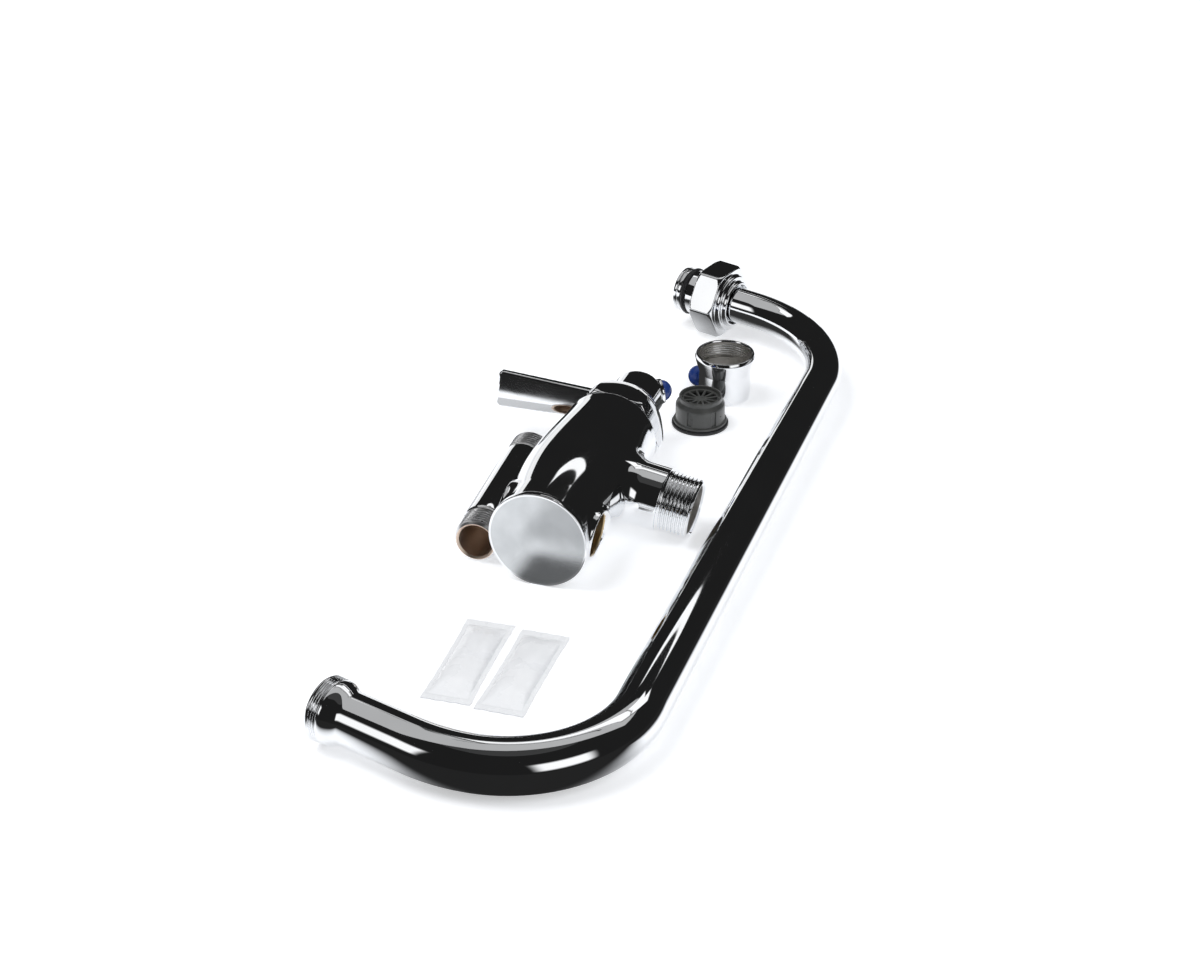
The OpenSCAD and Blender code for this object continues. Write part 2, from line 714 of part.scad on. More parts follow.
module spout_tube() {
  ferrule_len = bell_len + aerator_thread_len;
  lap_turn = lap / entry_bend_r * 180 / PI;
  color("silver") {
    on_tube([ferrule_len, 0], 0) rotate([0, 90, 0])
      tube_length(tube_out_r, tube_out_r, outlet_leg - ferrule_len + lap, tube_wall);
    on_tube(entry_at, 0)
      tube_bend(entry_bend_r, entry_turn + lap_turn, tube_out_r + lap_skin, tube_wall + 2 * lap_skin);
    on_tube(big_bend_at, entry_turn)
      tube_bend(big_bend_r, big_turn - entry_turn, tube_out_r + 2 * lap_skin,
                tube_wall + 4 * lap_skin);
    on_tube(run_at, big_turn) rotate([0, 90, 0]) translate([0, 0, -lap])
      tube_length(tube_out_r, tube_in_r, run_len + 2 * lap, tube_wall);
    on_tube(small_bend_at, big_turn)
      tube_bend(small_bend_r, small_turn, tube_in_r + lap_skin, tube_wall + 2 * lap_skin);
    on_tube(inlet_at, 180) rotate([0, 90, 0]) translate([0, 0, -lap])
      tube_length(tube_in_r, tube_in_r, inlet_total + lap, tube_wall);
  }
}

module outlet_ferrule() {
  bore_r = tube_out_r - tube_wall;
  color("silver") spout_frame() rotate(leg_heading) rotate([0, 90, 0])
    rotate_extrude() polygon(concat(
      [[bore_r, 0], [aerator_thread_r - rim_bevel, 0], [aerator_thread_r, rim_bevel],
       [aerator_thread_r, aerator_thread_len]],
      [for (i = [1 : bell_steps]) let (t = i / bell_steps)
        [tube_out_r + (aerator_thread_r - tube_out_r) * pow(1 - t, 2),
         aerator_thread_len + bell_len * t]],
      [[bore_r, aerator_thread_len + bell_len]]));
}

// Swivel frame: local +Z points from the plug's shoulder out through the plug
module swivel_frame() {
  on_tube(inlet_at - [inlet_total, 0], 180) rotate([0, 90, 0]) children();
}

module swivel_plug() {
  plug_end = shoulder_t + plug_len;
  color("silver") swivel_frame() rotate_extrude() polygon([
      [tube_bore_r, 0], [tube_in_r, 0], [tube_in_r, -sleeve_len], [sleeve_r, -sleeve_len],
      [sleeve_r, 0], [shoulder_r, 0], [shoulder_r, shoulder_t], [plug_r, shoulder_t],
      [plug_r, plug_ring_at - groove_w / 2], [groove_r, plug_ring_at - groove_w / 2],
      [groove_r, plug_ring_at + groove_w / 2], [plug_r, plug_ring_at + groove_w / 2],
      [plug_r, plug_end - plug_bevel], [plug_r - plug_bevel, plug_end],
      [tube_bore_r + plug_bevel, plug_end], [tube_bore_r, plug_end - plug_bevel]]);
}

module plug_o_ring() {
  color("black") swivel_frame()
    translate([0, 0, plug_ring_at]) o_ring(groove_r + plug_ring_cord_r, plug_ring_cord_r);
}

module slip_washer() {
  color("black") swivel_frame() translate([0, 0, -slip_t - seat_gap]) difference() {
    cylinder(h = slip_t, r = shoulder_r);
    translate([0, 0, -over]) cylinder(h = slip_t + 2 * over, r = sleeve_r + play);
  }
}

module swivel_nut() {
  hex_at = nut_neck_len + nut_collar_len;
  color("silver") swivel_frame() translate([0, 0, nut_back]) difference() {
    union() {
      translate([0, 0, hex_at]) rotate(30) hex_prism(nut_flats, nut_hex_len, hex_bevel);
      translate([0, 0, nut_neck_len]) cylinder(h = nut_collar_len + over, r = nut_collar_r);
      cylinder(h = nut_neck_len + over, r = nut_neck_r);
    }
    translate([0, 0, hex_at + nut_wall]) cylinder(h = nut_len, r = nut_thread_r);
    translate([0, 0, -over]) cylinder(h = nut_len, r = sleeve_r + play);
  }
}

module riser_nipple() {
  mouth = nipple_mouth_r - nipple_bore_r;
  color("silver") translate([nipple_at[0] - kit_middle[0], nipple_at[1] - kit_middle[1], nipple_r])
    rotate(nipple_heading) rotate([0, 90, 0]) difference() {
      rotate_extrude() polygon([
        [nipple_bore_r, mouth], [nipple_mouth_r, 0], [nipple_thread_r - nipple_bevel, 0],
        [nipple_thread_r, nipple_chamfer_len], [nipple_thread_r, nipple_thread_len],
        [nipple_r, nipple_thread_len + nipple_step],
        [nipple_r, nipple_len - nipple_thread_len - nipple_step],
        [nipple_thread_r, nipple_len - nipple_thread_len],
        [nipple_thread_r, nipple_len - nipple_chamfer_len],
        [nipple_thread_r - nipple_bevel, nipple_len], [nipple_mouth_r, nipple_len],
        [nipple_bore_r, nipple_len - mouth]]);
    }
}

module shell_frame() {
  translate([shell_at[0] - kit_middle[0], shell_at[1] - kit_middle[1], 0]) children();
}

module aerator_shell() {
  color("silver") shell_frame() rotate_extrude() polygon([
    [shell_hole_r, 0], [shell_skirt_r - shell_foot, 0], [shell_skirt_r, shell_foot],
    [shell_skirt_r, shell_step_at], [shell_lip_r - play, shell_h - shell_lip_h],
    [shell_lip_r, shell_h - shell_lip_bevel], [shell_lip_r - shell_lip_bevel, shell_h],
    [shell_thread_r, shell_h], [shell_thread_r, shell_step_at + shell_rise],
    [shell_bore_r, shell_step_at + shell_rise], [shell_bore_r, shell_floor],
    [shell_hole_r, shell_floor]]);
}

// The rubber seal, on which the insert stands upside down
module aerator_washer() {
  color("dimgray") insert_frame() difference() {
    cylinder(h = washer_t, r = washer_r);
    translate([0, 0, -over]) cylinder(h = washer_t + 2 * over, r = insert_ring_r);
  }
}

module insert_frame() {
  translate([insert_at[0] - kit_middle[0], insert_at[1] - kit_middle[1], 0]) children();
}

module insert_housing() {
  flange_h = housing_flange_h;
  shoulder_h = insert_h - ring_rise;
  drum_h = shoulder_h - shoulder_bevel[0];
  color("#202020") insert_frame() translate([0, 0, washer_t]) difference() {
    union() {
      cylinder(h = flange_h, r = insert_flange_r);
      cylinder(h = drum_h, r = insert_r);
      translate([0, 0, drum_h])
        cylinder(h = shoulder_bevel[0], r1 = insert_r, r2 = insert_r - shoulder_bevel[1]);
      cylinder(h = insert_h, r = insert_ring_r + ring_wall);
    }
    translate([0, 0, -over]) cylinder(h = insert_h + 2 * over, r = insert_ring_r - ring_wall);
    // Moulded notches round the drum
    for (i = [0 : notches - 1]) rotate(i * 360 / notches + notch_turn)
      translate([insert_r - notch[0], -notch[1] / 2, flange_h + notch[0]])
      cube([2 * over, notch[1], shoulder_h - flange_h - notch[2]]);
  }
}

module insert_spoke_disc() {
  disc_at = insert_h - disc_drop;
  bore_r = insert_ring_r - ring_wall;
  color("#202020") insert_frame() translate([0, 0, washer_t + disc_at]) {
    difference() {
      cylinder(h = disc_h, r = bore_r);
      translate([0, 0, -over]) cylinder(h = disc_h + 2 * over, r = bore_r - disc_rim);
    }
    cylinder(h = disc_h, r = disc_hub_r);
    for (i = [0 : spokes - 1]) rotate(i * 360 / spokes)
      translate([disc_hub_r / 2, -spoke_w / 2, 0]) cube([bore_r - disc_hub_r, spoke_w, disc_h]);
  }
}

module insert_screens() {
  color("gray") insert_frame() for (rise = screen_at) translate([0, 0, washer_t + rise])
    cylinder(h = screen_h, r = insert_ring_r - ring_wall);
}

// A flat sealed film with a filled pillow in its middle
module sachet(at, heading) {
  pillow_w = sachet_w - 2 * sachet_seal;
  pillow_len = sachet_len - 2 * sachet_seal;
  color("whitesmoke") translate([at[0] - kit_middle[0], at[1] - kit_middle[1], 0]) rotate(heading) {
    translate([-sachet_w / 2, -sachet_len / 2, 0]) cube([sachet_w, sachet_len, sachet_film_t]);
    hull() {
      translate([-pillow_w / 2, -pillow_len / 2, 0]) cube([pillow_w, pillow_len, sachet_film_t]);
      translate([-pillow_w / 4, -pillow_len / 3, 0])
        cube([pillow_w / 2, pillow_len * 2 / 3, sachet_t]);
    }
  }
}

module lubricant_sachet_a() {
  sachet(sachet_a_at, sachet_headings[0]);
}

module lubricant_sachet_b() {
  sachet(sachet_b_at, sachet_headings[1]);
}

valve_body();
bonnet_nut();
cartridge_housing();
housing_o_ring();
seat_seal();
fixed_ceramic_disc();
moving_ceramic_disc();
cartridge_stem();
stem_o_rings();
stem_clip();
lever_handle();
handle_set_screw();
index_button();
spare_index_button();
spout_tube();
outlet_ferrule();
swivel_plug();
plug_o_ring();
slip_washer();
swivel_nut();
riser_nipple();
aerator_shell();
aerator_washer();
insert_housing();
insert_spoke_disc();
insert_screens();
lubricant_sachet_a();
lubricant_sachet_b();
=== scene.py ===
"""Looks of the add-on faucet kit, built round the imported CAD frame. Lengths are in millimetres
inside the helpers and become metres when a mesh is made."""
import math

import bpy
import numpy as np
from mathutils import Matrix, Vector


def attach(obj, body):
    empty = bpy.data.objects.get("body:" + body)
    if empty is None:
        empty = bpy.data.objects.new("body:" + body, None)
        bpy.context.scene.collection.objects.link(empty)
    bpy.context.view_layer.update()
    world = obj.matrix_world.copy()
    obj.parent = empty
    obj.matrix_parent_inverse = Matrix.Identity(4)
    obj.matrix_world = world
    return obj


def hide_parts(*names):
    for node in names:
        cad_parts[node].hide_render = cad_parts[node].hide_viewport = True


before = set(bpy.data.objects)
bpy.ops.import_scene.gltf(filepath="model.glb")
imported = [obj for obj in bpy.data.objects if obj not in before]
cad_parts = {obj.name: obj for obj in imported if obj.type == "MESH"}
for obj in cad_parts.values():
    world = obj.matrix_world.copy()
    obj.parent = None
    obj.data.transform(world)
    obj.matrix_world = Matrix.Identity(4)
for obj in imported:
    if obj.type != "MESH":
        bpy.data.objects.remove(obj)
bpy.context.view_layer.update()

# -------- camera
CAMERA_AT = (0.24400, -0.73961, 0.45687)
CAMERA_LENS = 74.6063
CAMERA_DROP = math.radians(29.5428)
CAMERA_HEADING = (-0.3173, 0.9483)

cam_data = bpy.data.cameras.new("camera")
cam_data.sensor_width = 36
cam_data.lens = CAMERA_LENS
cam_data.clip_start = 0.01
cam_data.clip_end = 50
camera = bpy.data.objects.new("camera", cam_data)
bpy.context.collection.objects.link(camera)
camera.location = CAMERA_AT
look = Vector((CAMERA_HEADING[0] * math.cos(CAMERA_DROP), CAMERA_HEADING[1] * math.cos(CAMERA_DROP),
               -math.sin(CAMERA_DROP)))
camera.rotation_euler = look.to_track_quat("-Z", "Y").to_euler()
bpy.context.scene.camera = camera

# -------- frames of the part
KIT = Vector((8.69, 52.16, 0))
ROLL = math.radians(9.436734)           # the valve lies on its outlet's rim and rolls by this
VALVE_UP = 18                           # height of the valve's axis over the table
SPOUT_AT = (-41.19, -157.86, 11.01)     # middle of the spout's outlet face
SPOUT_PITCH, SPOUT_TILT = math.radians(1.2313027), math.radians(0.6160602)
SPOUT_HEADING = math.radians(-15.8)


def turned(columns, origin):
    """The matrix with these columns and this origin."""
    m = Matrix.Identity(4)
    for c, col in enumerate(columns):
        for r in range(3):
            m[r][c] = col[r]
    for r in range(3):
        m[r][3] = origin[r]
    return m


VALVE = turned([(math.cos(ROLL), 0, -math.sin(ROLL)), (-math.sin(ROLL), 0, -math.cos(ROLL)), (0, 1, 0)],
               (-KIT.x, -KIT.y, VALVE_UP))
SPOUT = (Matrix.Translation(SPOUT_AT) @ Matrix.Rotation(SPOUT_PITCH, 4, "Y")
         @ Matrix.Rotation(SPOUT_TILT, 4, "X") @ Matrix.Rotation(SPOUT_HEADING, 4, "Z"))
ALONG_X = Matrix.Rotation(math.radians(90), 4, "Y")


def upright(x, y, z=0.0):
    """A frame that stands on the table, its place measured from the valve's disk."""
    return Matrix.Translation((x - KIT.x, y - KIT.y, z))


# -------- materials
def nodes_of(name):
    """A new material, its tree and its main shader."""
    m = bpy.data.materials.new(name)
    m.use_nodes = True
    return m, m.node_tree, m.node_tree.nodes["Principled BSDF"]


def node(tree, kind, **values):
    """A new node; each value goes to the input of that name, or else to the property."""
    n = tree.nodes.new(kind)
    for k, v in values.items():
        if k in n.inputs:
            n.inputs[k].default_value = v
        else:
            setattr(n, k.lower(), v)
    return n


def coords(tree):
    return node(tree, "ShaderNodeTexCoord").outputs["Object"]


def noise(tree, scale, detail, rough=0.5):
    n = node(tree, "ShaderNodeTexNoise", Scale=scale, Detail=detail, Roughness=rough)
    tree.links.new(coords(tree), n.inputs["Vector"])
    return n.outputs["Fac"]


def ramp(tree, fac, stops):
    r = tree.nodes.new("ShaderNodeValToRGB")
    e = r.color_ramp.elements
    while len(e) < len(stops):
        e.new(0.5)
    for k, (p, c) in enumerate(stops):
        e[k].position = p
        e[k].color = (*c, 1) if isinstance(c, tuple) else (c, c, c, 1)
    tree.links.new(fac, r.inputs["Fac"])
    return r.outputs["Color"]


def bump(tree, bsdf, fac, strength, distance, after=None):
    b = node(tree, "ShaderNodeBump", Strength=strength, Distance=distance)
    tree.links.new(fac, b.inputs["Height"])
    if after is not None:
        tree.links.new(after, b.inputs["Normal"])
    tree.links.new(b.outputs["Normal"], bsdf.inputs["Normal"])
    return b.outputs["Normal"]


METAL_IOR, WAVE_SCALE = 2.2, 140


def metal(name, colour, stops, scale=60, wave=0.02):
    """A metal whose colour and roughness drift a little over its surface."""
    m, t, p = nodes_of(name)
    p.inputs["Metallic"].default_value = 1
    p.inputs["IOR"].default_value = METAL_IOR
    darker = tuple(c * 0.93 for c in colour)
    t.links.new(ramp(t, noise(t, scale, 4), [(0.3, colour), (0.75, darker)]), p.inputs["Base Color"])
    t.links.new(ramp(t, noise(t, scale * 0.7, 5), [(0.35, stops[0]), (0.8, stops[1])]),
                p.inputs["Roughness"])
    bump(t, p, noise(t, WAVE_SCALE, 2), wave, 0.0001)
    return m


CHROME = metal("polished_chrome", (0.86, 0.87, 0.885), (0.02, 0.05))
STEEL = metal("stainless", (0.62, 0.61, 0.6), (0.2, 0.36), 220, 0.1)
BRASS = metal("raw_brass", (0.8, 0.66, 0.55), (0.38, 0.56), 160, 0.25)
CAST = metal("cast_brass", (0.55, 0.42, 0.24), (0.25, 0.45), 160, 0.2)
INSIDE = metal("dull_plating", (0.76, 0.74, 0.71), (0.34, 0.52), 180, 0.1)
CUT = metal("rolled_thread", (0.93, 0.93, 0.94), (0.26, 0.42), 220, 0.08)


def turned_face():
    """The disk's face: satin, with fine concentric turning lines that stretch its reflections."""
    m, t, p = nodes_of("spun_disk_face")
    p.inputs["Metallic"].default_value = 1
    xyz = node(t, "ShaderNodeSeparateXYZ")
    t.links.new(coords(t), xyz.inputs[0])
    sq = [node(t, "ShaderNodeMath", operation="MULTIPLY") for _ in range(2)]
    for n, axis in zip(sq, "XY"):
        t.links.new(xyz.outputs[axis], n.inputs[0])
        t.links.new(xyz.outputs[axis], n.inputs[1])
    add = node(t, "ShaderNodeMath", operation="ADD")
    for k in range(2):
        t.links.new(sq[k].outputs[0], add.inputs[k])
    r = node(t, "ShaderNodeMath", operation="SQRT")
    t.links.new(add.outputs[0], r.inputs[0])
    lines = node(t, "ShaderNodeTexNoise", Scale=4200.0, Detail=2.0, noise_dimensions="1D")
    t.links.new(r.outputs[0], lines.inputs["W"])
    t.links.new(ramp(t, noise(t, 90, 4), [(0.3, (0.6, 0.615, 0.625)), (0.8, (0.46, 0.475, 0.485))]),
                p.inputs["Base Color"])
    t.links.new(ramp(t, lines.outputs["Fac"], [(0.3, 0.1), (0.8, 0.2)]), p.inputs["Roughness"])
    p.inputs["Anisotropic"].default_value = 0.6
    round_axis = node(t, "ShaderNodeTangent", direction_type="RADIAL", axis="Z")
    t.links.new(round_axis.outputs[0], p.inputs["Tangent"])
    bump(t, p, lines.outputs["Fac"], 0.12, 0.00003)
    return m


DISK_FACE = turned_face()


def plain(name, light, dark, rough, scale, grain, coat=0.0):
    """A rubber, plastic or ceramic with a fine grain and, where asked for, a clear coat."""
    m, t, p = nodes_of(name)
    p.inputs["IOR"].default_value = 1.5
    p.inputs["Coat Weight"].default_value = coat
    p.inputs["Coat Roughness"].default_value = 0.1
    t.links.new(ramp(t, noise(t, scale * 0.15, 5), [(0.3, light), (0.75, dark)]),
                p.inputs["Base Color"])
    t.links.new(ramp(t, noise(t, scale * 0.4, 4), [(0.3, rough[0]), (0.75, rough[1])]),
                p.inputs["Roughness"])
    bump(t, p, noise(t, scale, 3), grain, 0.0001)
    return m


RUBBER = plain("black_rubber", (0.02, 0.02, 0.021), (0.012, 0.012, 0.013), (0.38, 0.6),
               scale=1400, grain=0.3)
PLASTIC = plain("moulded_black_plastic", (0.066, 0.067, 0.063), (0.05, 0.051, 0.048), (0.27, 0.36),
                scale=1200, grain=0.05, coat=0.2)
BLUE = plain("blue_plastic", (0.016, 0.05, 0.25), (0.012, 0.04, 0.2), (0.22, 0.34),
             scale=900, grain=0.08, coat=0.25)
CERAMIC = plain("alumina", (0.86, 0.85, 0.82), (0.8, 0.79, 0.76), (0.12, 0.24),
                scale=1500, grain=0.05)


def film():
    """The sachet's thin film: milky, glossy and wrinkled, with the pale gel showing through."""
    m, t, p = nodes_of("milky_film")
    p.inputs["IOR"].default_value = 1.46
    p.inputs["Coat Weight"].default_value = 0.35
    p.inputs["Coat Roughness"].default_value = 0.12
    p.inputs["Subsurface Weight"].default_value = 0.25
    p.inputs["Subsurface Radius"].default_value = (0.003, 0.003, 0.003)
    t.links.new(ramp(t, noise(t, 55, 5, 0.6), [(0.3, (0.93, 0.94, 0.955)), (0.7, (0.97, 0.975, 0.98))]),
                p.inputs["Base Color"])
    t.links.new(ramp(t, noise(t, 120, 3), [(0.3, 0.2), (0.8, 0.42)]), p.inputs["Roughness"])
    first = bump(t, p, noise(t, 85, 4, 0.55), 0.5, 0.0006)
    bump(t, p, noise(t, 420, 2), 0.25, 0.0001, first)
    return m


FILM = film()


# -------- mesh tools
def make(name, verts, faces, matrix, materials, body, replaces, normals=None, which=None, sharp=32):
    """A piece of the scene from a mesh in millimetres. which gives each face its material, normals the
    exact normals of a rounded form, and sharp the angle in degrees from which an edge stays hard."""
    mesh = bpy.data.meshes.new(name)
    verts = np.asarray(verts, float) * 0.001
    mesh.from_pydata([tuple(v) for v in verts.tolist()], [], [tuple(f) for f in faces])
    mesh.validate()
    mesh.polygons.foreach_set("use_smooth", [True] * len(mesh.polygons))
    for m in materials:
        mesh.materials.append(m)
    if which is not None and len(which) == len(mesh.polygons):
        mesh.polygons.foreach_set("material_index", np.asarray(which, np.int32))
    if normals is None:
        mesh.set_sharp_from_angle(angle=math.radians(sharp))
    else:
        mesh.normals_split_custom_set_from_vertices([tuple(n) for n in normals.tolist()])
    mesh.update()
    o = bpy.data.objects.new(name, mesh)
    bpy.context.collection.objects.link(o)
    m = matrix.copy()
    for r in range(3):
        m[r][3] *= 0.001
    o.matrix_world = m
    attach(o, body)
    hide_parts(*replaces)
    return o


def soft(points, closed=True, steps=5):
    """A profile with its corners rounded: each point is (r, z) or (r, z, fillet radius)."""
    out, n = [], len(points)
    for i, p in enumerate(points):
        if len(p) < 3 or p[2] <= 0 or (not closed and i in (0, n - 1)):
            out.append((p[0], p[1]))
            continue
        a, b, c = (np.array(points[k % n][:2], float) for k in (i - 1, i, i + 1))
        u, v = a - b, c - b
        lu, lv = np.linalg.norm(u), np.linalg.norm(v)
        u, v = u / lu, v / lv
        half = math.acos(max(-1, min(1, float(u @ v)))) / 2
        t = min(p[2] / math.tan(half), 0.48 * lu, 0.48 * lv)
        rad = t * math.tan(half)
        mid = b + (u + v) / np.linalg.norm(u + v) * rad / math.sin(half)
        a0 = math.atan2(*(b + u * t - mid)[::-1])
        a1 = math.atan2(*(b + v * t - mid)[::-1])
        d = (a1 - a0 + math.pi) % (2 * math.pi) - math.pi
        out += [tuple(mid + rad * np.array([math.cos(a0 + d * k / steps), math.sin(a0 + d * k / steps)]))
                for k in range(steps + 1)]
    return out


def spread(points, longest):
    """Adds points along a profile so that no step is longer than that."""
    out = []
    for a, b in zip(points, points[1:]):
        n = max(1, math.ceil(math.dist(a, b) / longest))
        out += [(a[0] + (b[0] - a[0]) * k / n, a[1] + (b[1] - a[1]) * k / n) for k in range(n)]
    return out + [points[-1]]


def lathe(profile, seg, closed=True, shape=None):
    """Vertices and faces of a turned form. shape(theta, r, z) may move the radius, as a thread does."""
    n = len(profile)
    th = np.linspace(0, 2 * math.pi, seg, endpoint=False)
    R = np.array([p[0] for p in profile])[None, :] * np.ones((seg, 1))
    Z = np.array([p[1] for p in profile])[None, :] * np.ones((seg, 1))
    T = th[:, None] * np.ones((1, n))
    if shape:
        R = shape(T, R, Z)
    V = np.stack([R * np.cos(T), R * np.sin(T), Z], -1).reshape(-1, 3)
    F = []
    for i in range(seg):
        j = (i + 1) % seg
        for k in range(n if closed else n - 1):
            m = (k + 1) % n
            F.append((i * n + k, j * n + k, j * n + m, i * n + m))
    return V, F


def merge(*parts):
    """Several meshes as one, with the number of the mesh that each face came from."""
    V, F, W, base = [], [], [], 0
    for k, (v, f) in enumerate(parts):
        V.append(np.asarray(v, float))
        F += [tuple(i + base for i in g) for g in f]
        W += [k] * len(f)
        base += len(v)
    return np.concatenate(V), F, W


def corners(V, F):
    """Radius and height of each corner of each face of a turned form."""
    at = V[np.array(F)]
    return np.hypot(at[..., 0], at[..., 1]), at[..., 2]


def thread(z0, z1, pitch, depth, major, outer=True):
    """A V thread cut between two heights into the surface that lies at the major radius."""
    def cut(T, R, Z):
        phase = (Z / pitch - T / (2 * math.pi)) % 1.0
        v = np.abs(phase - 0.5) * 2
        v = np.clip(v * 1.35 - 0.17, 0, 1)      # narrow flats on the crests and in the roots
        v = v * v * (3 - 2 * v)
        fade = np.clip((Z - z0) / pitch + 0.5, 0, 1) * np.clip((z1 - Z) / pitch + 0.5, 0, 1)
        near = (np.abs(R - major) < 0.08) & (Z > z0 - pitch) & (Z < z1 + pitch)
        return np.where(near, R - (1 if outer else -1) * depth * (1 - v) * fade, R)
    return cut


def smin(a, b, r):
    """The union of two distances with a fillet of radius r."""
    return np.maximum(r, np.minimum(a, b)) - np.hypot(np.maximum(r - a, 0), np.maximum(r - b, 0))


def smax(a, b, r):
    """The intersection of two distances with a rounded edge of radius r."""
    return -smin(-a, -b, r)


def net(sdf, lo, hi, step):
    """A smooth quad net over the zero surface of a distance function, with its exact normals."""
    ax = [np.arange(l - 2 * step, h + 2.5 * step, step) for l, h in zip(lo, hi)]
    X, Y, Z = np.meshgrid(*ax, indexing="ij")
    v = sdf(X, Y, Z)
    ins = v < 0
    n = [s - 1 for s in v.shape]
    total = np.zeros(n)
    sums = np.zeros((*n, 3))
    grid = [a[:-1] for a in ax]
    for axis in range(3):
        o1, o2 = [a for a in range(3) if a != axis]
        for p in (0, 1):
            for q in (0, 1):
                s0, s1 = [slice(0, m) for m in n], [slice(0, m) for m in n]
                s0[o1] = s1[o1] = slice(p, n[o1] + p)
                s0[o2] = s1[o2] = slice(q, n[o2] + q)
                s1[axis] = slice(1, n[axis] + 1)
                a, b = v[tuple(s0)], v[tuple(s1)]
                hit = (a < 0) != (b < 0)
                t = np.where(hit, a / np.where(hit, a - b, 1), 0)
                total += hit
                sums[..., axis] += np.where(hit, t, 0)
                sums[..., o1] += np.where(hit, p, 0)
                sums[..., o2] += np.where(hit, q, 0)
    act = total > 0
    idx = -np.ones(n, int)
    idx[act] = np.arange(int(act.sum()))
    P = sums[act] / total[act][:, None]
    I = np.argwhere(act)
    P = np.stack([grid[k][I[:, k]] + P[:, k] * step for k in range(3)], -1)

    def grad(P, e=0.02):
        g = []
        for k in range(3):
            d = np.zeros(3)
            d[k] = e
            g.append((sdf(*(P + d).T) - sdf(*(P - d).T)) / (2 * e))
        return np.stack(g, -1)

    for _ in range(4):
        g = grad(P)
        move = (sdf(*P.T) / np.maximum((g * g).sum(-1), 0.25))[:, None] * g
        big = np.linalg.norm(move, axis=1, keepdims=True)
        P = P - move * np.minimum(1, 0.5 * step / np.maximum(big, 1e-9))
    g = grad(P)
    N = g / np.maximum(np.linalg.norm(g, axis=1, keepdims=True), 1e-9)
    F = []
    for axis in range(3):
        o1, o2 = [(1, 2), (2, 0), (0, 1)][axis]
        s0 = [slice(1, -1)] * 3
        s1 = [slice(1, -1)] * 3
        s0[axis], s1[axis] = slice(0, -1), slice(1, None)
        a, b = ins[tuple(s0)], ins[tuple(s1)]
        for flip in (False, True):
            at = np.argwhere(a & ~b if not flip else ~a & b)
            at += np.array([0 if k == axis else 1 for k in range(3)])
            q = []
            for d1, d2 in ((-1, -1), (0, -1), (0, 0), (-1, 0)):
                c = at.copy()
                c[:, o1] += d1
                c[:, o2] += d2
                q.append(idx[tuple(c.T)])
            q = np.stack(q if not flip else q[::-1], -1)
            F += q[(q >= 0).all(1)].tolist()
    return P, F, N


# -------- valve body
DISK_R, DISK_T, NECK_R, BELLY_R, CROWN_R = 18.0, 2.8, 16.6, 17.6, 17.8
BELLY_AT, SWELL, BODY_LEN, PORT_AT, OUTLET_AT = 44.0, 2.8, 80.0, 14.4, 48.8
OUTLET_REACH, THREAD_LEN, THREAD_R, SOCKET_R = 43.0, 12.0, 11.1, 9.25
OUTLET_NECK_R, SOCKET_DEPTH, OUTLET_BORE_R = 11.7, 18.6, 6.5
PORT_R, PORT_FACE = 9.2, 17.5               # boss of a riser port, and its face from the axis
TAP_R, TAP_FLARE, TAP_FLOOR = 7.55, 16.65, 6.5      # tapped bore, where it flares, and where it ends
WAY_R = 5.5                                 # water ways inside the body
CHAMBER_R, CHAMBER_FLOOR = 12.0, 33.0       # room of the cartridge
PORT_BLEND, OUTLET_BLEND = 2.2, 5.0         # fillets where the bosses leave the body


def belly(z):
    """Half width of the body at a height, before its sides swell."""
    low = BELLY_R - (BELLY_R - NECK_R) * ((BELLY_AT - z) / (BELLY_AT - DISK_T)) ** 2
    high = BELLY_R + (CROWN_R - BELLY_R) * ((z - BELLY_AT) / (BODY_LEN - BELLY_AT)) ** 2
    return np.where(z < BELLY_AT, low, high)


def valve_sdf(x, y, z):
    """Distance to the casting: a swollen barrel, two riser ports along x and the outlet along +x."""
    zc = np.clip(z, 0, BODY_LEN)
    t = np.clip((zc - PORT_AT) / (BODY_LEN - PORT_AT - 4), 0, 1)
    a = belly(zc) + SWELL * np.sin(math.pi * t) ** 1.2
    b = belly(zc)
    k = np.sqrt((x / a) ** 2 + (y / b) ** 2)
    g = np.sqrt((x / a ** 2) ** 2 + (y / b ** 2) ** 2)
    d = np.where(k < 0.05, -12.0, k * (k - 1) / np.maximum(g, 1e-6))
    d = smax(d, z - BODY_LEN, 0.8)
    d = np.maximum(d, DISK_T - 1.2 - z)
    port = np.hypot(y, z - PORT_AT) - PORT_R
    port = smax(port, np.abs(x) - PORT_FACE, 0.7)
    d = smin(d, port, PORT_BLEND)
    neck = np.hypot(y, z - OUTLET_AT) - OUTLET_NECK_R
    neck = smax(neck, x - (OUTLET_REACH - THREAD_LEN - 0.1), 0.5)
    neck = np.maximum(neck, -x)
    d = smin(d, neck, OUTLET_BLEND)
    tap = np.hypot(y, z - PORT_AT) - (TAP_R + np.clip(np.abs(x) - TAP_FLARE, 0, 2))
    tap = np.maximum(tap, TAP_FLOOR - np.abs(x))
    way = np.hypot(y, z - PORT_AT) - WAY_R
    shaft = np.maximum(np.hypot(x, y) - WAY_R, PORT_AT - z)
    room = np.maximum(np.hypot(x, y) - CHAMBER_R, CHAMBER_FLOOR - z)
    socket = np.maximum(np.hypot(y, z - OUTLET_AT) - SOCKET_R, OUTLET_REACH - SOCKET_DEPTH - x)
    out = np.maximum(np.hypot(y, z - OUTLET_AT) - OUTLET_BORE_R, -x)
    for hole, r in ((np.minimum(tap, way), 0.5), (np.minimum(shaft, room), 0.3),
                    (np.minimum(socket, out), 0.3)):
        d = smax(d, -hole, r)
    return d


